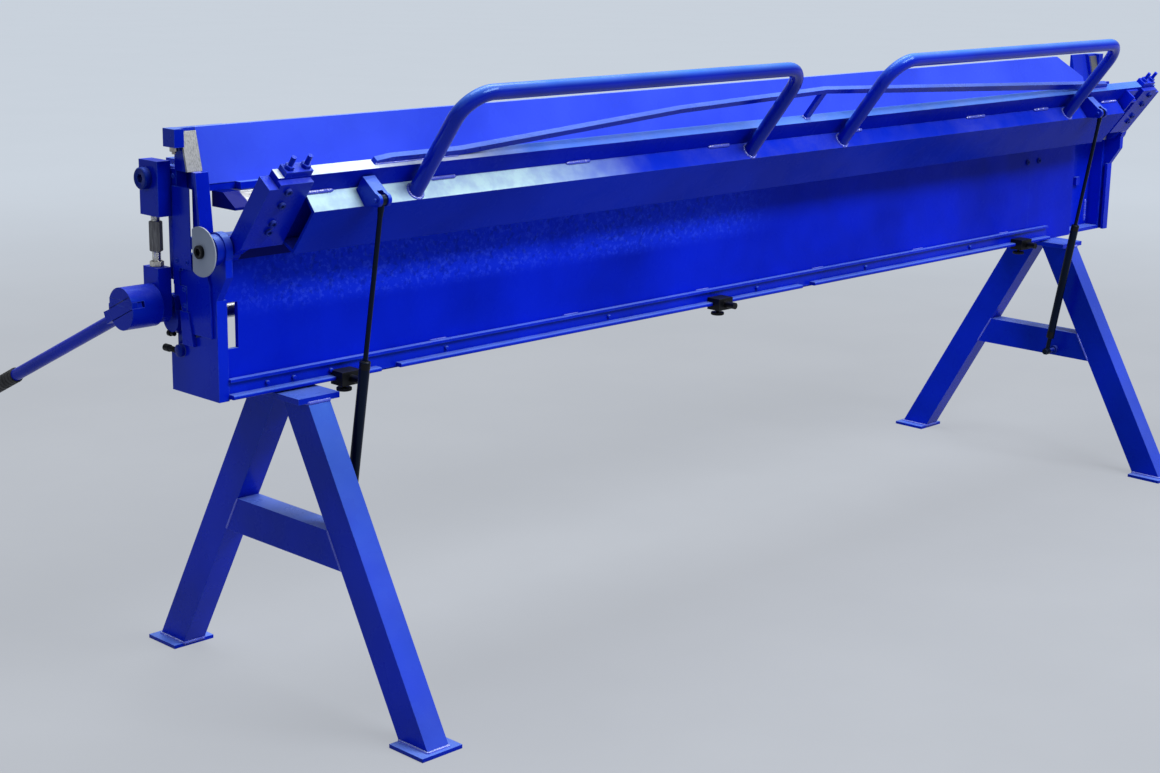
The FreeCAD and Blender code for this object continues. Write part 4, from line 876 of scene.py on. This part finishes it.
# %% Beam guides
keeper_outline = [(92, 812), (106, 812), (117, 841), (132, 841), (132, 862), (92, 862)]
side_outline = [(14, 770), (112, 770), (112, 905), (30, 905), (16, 872)]
guide_bars = (
    ((1630, 1660), (40, 47), (950, 1088), 0.10), ((1630, 1648), (50, 69.7), (870, 1086)),
    ((1630, 1654), (112, 132), (862, 1088)), ((1638, 1646), (126, 154), (868, 1090)),
    ((1630, 1646), (93, 131), (853, 861)), ((1630, 1646), (93, 105), (813, 861)),
    ((1657.3, 1659.2), (64, 121), (898, 1056)), ((1645, 1659), (104, 119), (892, 904)),
)
guide_bolts = ((1652.6, 99, 855), (1652.6, 99, 824), (1653.6, 122, 1074), (1658.8, 76, 912), (1658.8, 110, 912))
ends = (("left", -1), ("right", 1))
for name, side in ends:
    shape = bmesh.new()
    for xs, ys, zs, *lean in guide_bars:
        add_bar(shape, [side * x for x in xs], ys, zs, *lean)
    for outline, xs in ((keeper_outline, (1645, 1653)), (side_outline, (1644, 1651))):
        add_plate(shape, outline, [side * x for x in xs])
    for x, y, z in guide_bolts:
        add_socket_bolt(shape, place(side * x, y, z), Vector((side, 0, 0)), 4.5, 2.6, 2.2, 1.8, chamfer=0.6, sides=24)
    add_piece("beam_guides_" + name, shape, shade_blue, "frame", replaced=["guides_" + name])

# %% [markdown]
# Each link hangs from a big round cap bolt, painted like the rest, with a dark six-sided socket. Below it a long
# six-sided coupling joins two bright threads, and a lock nut keeps it from turning.

# %% Links
link_x, link_y = 1672, 160
for name, side in ends:
    body = "link_" + name
    shape = bmesh.new()
    add_socket_bolt(shape, place(side * 1687, 166, 1068), Vector((side, 0, 0)), 21.5, 14.0, 8.2, 9.0, chamfer=2.0,
                    sides=48)
    add_piece("cap_bolt_" + name, shape, bolt_blue, body, replaced=["link_bolts_" + name])
    shape = bmesh.new()
    add_nut(shape, place(side * link_x, link_y, 895), up, 12.0, 11.0, 9.4)
    add_piece("lock_nut_" + name, shape, plated, body, replaced=["link_bolts_" + name])
    shape = bmesh.new()
    for z, length in ((895.5, 33.0), (981, 15.0)):
        add_thread(shape, place(side * link_x, link_y, z), up, length, 8.2, 2.5, 0.8)
    add_piece("link_threads_" + name, shape, bright_thread, body)
    shape = bmesh.new()
    add_nut(shape, place(side * link_x, link_y, 925), up, 11.4, 59.0, 9.3)
    add_piece("coupling_nut_" + name, shape, dull_steel, "coupling_" + name, replaced=["coupling_" + name])

# %% [markdown]
# Under each cap lug of the upper beam sits a plated nut on a short stud, small enough to clear the guides' cover
# strips when the beam comes down.

# %% Cap nuts
shape = bmesh.new()
for side in (-1, 1):
    add_nut(shape, place(side * 1667.5, 97, 1133), -up, 6.9, 9.0, 4.2)
    add_thread(shape, place(side * 1667.5, 97, 1119), up, 14.0, 3.7, 1.2, 0.5)
add_piece("lug_nuts", shape, plated, "upper_beam", replaced=["cap_nuts"])

# %% [markdown]
# The hand lever ends in a rubber grip. It is turned with shallow finger grooves, a rounded closed end and a thick
# lip at the mouth.

# %% Grip
lever_dip = math.radians(25)
lever_axis = Vector((0, math.cos(lever_dip), -math.sin(lever_dip)))
hub_y, hub_z = 160, 821
grip_mouth = place(-1722.3, hub_y, hub_z) + lever_axis * 0.515
profile = [(0, 13.2), (0, 15.0), (1.5, 16.5), (5, 16.5), (6.5, 15.2)]
for groove in range(7):
    start = 10 + groove * 13.5
    profile += [(start, 15.2), (start + 1.5, 16.4), (start + 9.0, 16.4), (start + 10.5, 15.2)]
profile += [(108, 15.2), (110, 16.4), (114, 16.4), (117.5, 14.8), (119.4, 11.0), (120, 6.0)]
shape = bmesh.new()
add_turned(shape, grip_mouth, lever_axis, profile, sides=40)
add_piece("ribbed_grip", shape, rubber, "crank", replaced=["lever_grip"])

# %% [markdown]
# The lever's flattened end lies in the hub's end face, flush with it. Two thin black strips paint the shade in the
# gaps at its sides, and a filler in the slot leaves only a small notch at the front.

# %% Lever tongue
across_lever = Vector((0, math.sin(lever_dip), math.cos(lever_dip)))


def hub_face_point(lengthways, sideways, x):
    """Point near the hub's end face, from millimetres along the lever and across it."""
    return place(x, hub_y, hub_z) + (lever_axis * lengthways + across_lever * sideways) / 1000


shape = bmesh.new()
add_bar(shape, (-1757.2, -1744.5), (121, 199), (827.3, 838.7))
tongue_outline = [(-38, -11.5), (40, -11.5), (62, -12.4), (62, 12.4), (40, 11.5), (-38, 11.5)]
skin_rings(shape, [[hub_face_point(*corner, x) for corner in tongue_outline] for x in (-1757.29, -1733)])
add_piece("lever_tongue", shape, shade_blue, "crank")
# Thin black strips: painted shade in the gaps beside the tongue.
shape = bmesh.new()
for middle in (-12.4, 12.4):
    gap = [(-37, middle - 0.7), (40.5, middle - 0.7), (40.5, middle + 0.7), (-37, middle + 0.7)]
    skin_rings(shape, [[hub_face_point(*corner, x) for corner in gap] for x in (-1757.3, -1755)])
add_piece("tongue_gap_shade", shape, black, "crank")

# %% [markdown]
# A gas strut closes with a rolled edge round the rod and a rubber wiper, and its ends carry pressed eyes. These
# small rings tell a strut from a plain tube.

# %% Gas strut rings
tube_mouth = [(0, 5.6), (0, 8.2), (1.6, 10.2), (4.0, 11.3), (16, 11.3), (18, 10.6)]
tube_end = [(0, 10.8), (2.0, 11.4), (19, 11.4), (22, 9.0), (23, 6.2)]
rod_end = [(0, 4.5), (1.5, 6.4), (14, 6.4), (16, 5.6), (24, 5.6), (25, 5.1)]
eye_ring = [(0, 4.3), (0, 9.2), (0.8, 10.4), (12.4, 10.4), (13.2, 9.2), (13.2, 4.3)]
half_eye = Vector((0.0066, 0, 0))
for name, x in (("left", -1386), ("right", 1248)):
    top = place(x, -178.4, 1036.2)
    hanging = (place(x, stud_y, stud_z) - top).normalized()
    shape = bmesh.new()
    add_turned(shape, top + hanging * 0.3295, hanging, tube_mouth)
    add_turned(shape, top + hanging * 0.655, hanging, tube_end)
    add_piece("strut_rings_" + name, shape, black, "strut_tube_" + name)
    shape = bmesh.new()
    add_turned(shape, top + hanging * 0.0085, hanging, rod_end)
    add_turned(shape, top - half_eye, -leftward, eye_ring, sides=28)
    add_piece("strut_eye_" + name, shape, strut_black, "strut_rod_" + name)

# %% [markdown]
# A few small parts sit on the frame itself: pins through the rail, a weld seam and a lug in the recess at the right,
# and a block bolted outside the right end plate.

# %% Small frame parts
shape = bmesh.new()
for x in (-1531, -1466, -1372, -1060, -560, -28, 420, 905):
    add_turned(shape, place(x, 3.9, 668), forward, [(0, 4.6), (4.2, 4.6), (5.6, 3.2)], sides=20)
add_bar(shape, (1527, 1547), (49, 61), (782, 806))
add_bar(shape, (1645, 1668), (58, 92), (812, 842))
add_socket_bolt(shape, place(1667.5, 75, 827), -leftward, 6.5, 4.0, 3.2, 3.0, chamfer=0.8, sides=24)
add_piece("frame_pins", shape, blue, "frame")
shape = bmesh.new()
add_bead(shape, [place(1604, 59.5, 664), place(1604, 59.5, 732)], forward, 4.6, ripple=7.0)
for x in (-1100, -700, -250, 200, 640, 1060):
    add_bead(shape, [place(x, 9.5, 689), place(x + 46, 9.5, 689)], (up + forward).normalized(), 1.5)
for side in (-1, 1):
    seam = [place(side * 1646, y, 957 + 4 * math.cos(y / 12)) for y in (-28, -12, 4, 20)]
    add_bead(shape, seam, leftward * -side, 2.4)
add_piece("frame_welds", shape, glinting_weld_blue, "frame")

# %% [markdown]
# Each clamp is tightened from below with a flat knob. Its rim has straight knurling for oily fingers: every other
# point of the ring is cut back.

# %% Clamp knobs
def add_knurled(shape, foot, axis, radius, height, teeth=36, notch=0.9):
    """Round knob with a knurled rim and chamfered faces."""
    profile = ((0, 0.80, 0), (0.6, 0.93, 0), (1.6, 1.0, notch), (height - 1.6, 1.0, notch),
               (height - 0.6, 0.93, 0), (height, 0.80, 0))
    rings = []
    for distance, share, cut in profile:
        stations = [(distance, radius * share - cut * (index % 2)) for index in range(teeth * 2)]
        rings.append(ring_round(foot, axis, stations))
    skin_rings(shape, rings)


clamp_y = -8
for number, x in enumerate((-1347, -188, 1140), start=1):
    shape = bmesh.new()
    add_knurled(shape, place(x, clamp_y, 623.7), up, 16.0, 8.0)
    add_thread(shape, place(x, clamp_y, 631.2), up, 17.5, 3.5, 1.25, 0.5)
    add_piece("clamp_knob_%d" % number, shape, black, "clamp_screw_%d" % number,
              replaced=["clamp_screw_%d" % number])

# %% [markdown]
# The machine stands on a plain pale floor, so that its colours stay true and its shadow shows where it rests. The
# floor fills the view from this height. Light Path lets the camera, mirrors and glass see it a little paler than
# it lights the machine.

# %% Floor
material, surface, spot = open_material("pale_floor")
patches = spread(clouds(spot, 1.3, detail=5.0), 0.3, 0.7)
fill(surface, {"Base Color": blend_colour(patches, (0.27, 0.29, 0.32), (0.32, 0.34, 0.37)), "Roughness": 0.8,
               "Specular IOR Level": 0.2})
from_middle = put_node(spot, "VectorMath", {0: spot}, operation="LENGTH").outputs["Value"]
horizon = blend_colour(spread(from_middle, 2.0, 7.5), (0.58, 0.61, 0.66), (0.82, 0.90, 1.0))
glow = put_node(surface, "Emission", {"Color": horizon, "Strength": 1.0})
rays = put_node(surface, "LightPath").outputs
seen = reckon("MAXIMUM", rays["Is Camera Ray"], rays["Is Glossy Ray"])
seen = times(reckon("MAXIMUM", seen, rays["Is Transmission Ray"]), 0.68)
mix = put_node(surface, "MixShader", {"Fac": seen, 1: surface.outputs[0], 2: glow.outputs[0]})
feed(material.node_tree.nodes["Material Output"].inputs["Surface"], mix.outputs[0])
shape = bmesh.new()
bmesh.ops.create_circle(shape, cap_ends=True, radius=60.0, segments=96)
add_object("floor", shape, material)

# %% [markdown]
# A large soft lamp from the front right is the main light, as the open sky is in the photograph. A weak one fills
# the left side, and a wide one from above lights the tops. The world gives an even pale sky.

# %% Lamps and sky
def lamp(name, at, towards, size, watts, colour=(1, 1, 1)):
    """Rectangular soft lamp that looks at a point."""
    data = bpy.data.lights.new(name, "AREA")
    data.shape = "RECTANGLE"
    data.size, data.size_y = size
    data.energy = watts
    data.color = colour
    light = bpy.data.objects.new(name, data)
    bpy.context.collection.objects.link(light)
    light.location = at
    light.rotation_euler = (Vector(towards) - Vector(at)).to_track_quat("-Z", "Y").to_euler()
    print("lamp", name, watts, "watts")


lamp("key", (0.9, -4.3, 5.2), (0, 0, 0.8), (4.5, 2.2), 385)
lamp("fill", (-5.0, -1.2, 2.6), (-1.0, 0, 0.8), (3.0, 2.0), 14, (0.8, 0.9, 1.0))
lamp("top", (0, 0.8, 4.8), (0, 0, 0.8), (5.0, 2.0), 160, (0.95, 0.97, 1.0))
world = bpy.data.worlds.new("studio")
world.use_nodes = True
fill(world.node_tree.nodes["Background"], {"Color": (0.80, 0.84, 0.92), "Strength": 0.3})
bpy.context.scene.world = world
bpy.context.scene.view_settings.view_transform = "Standard"
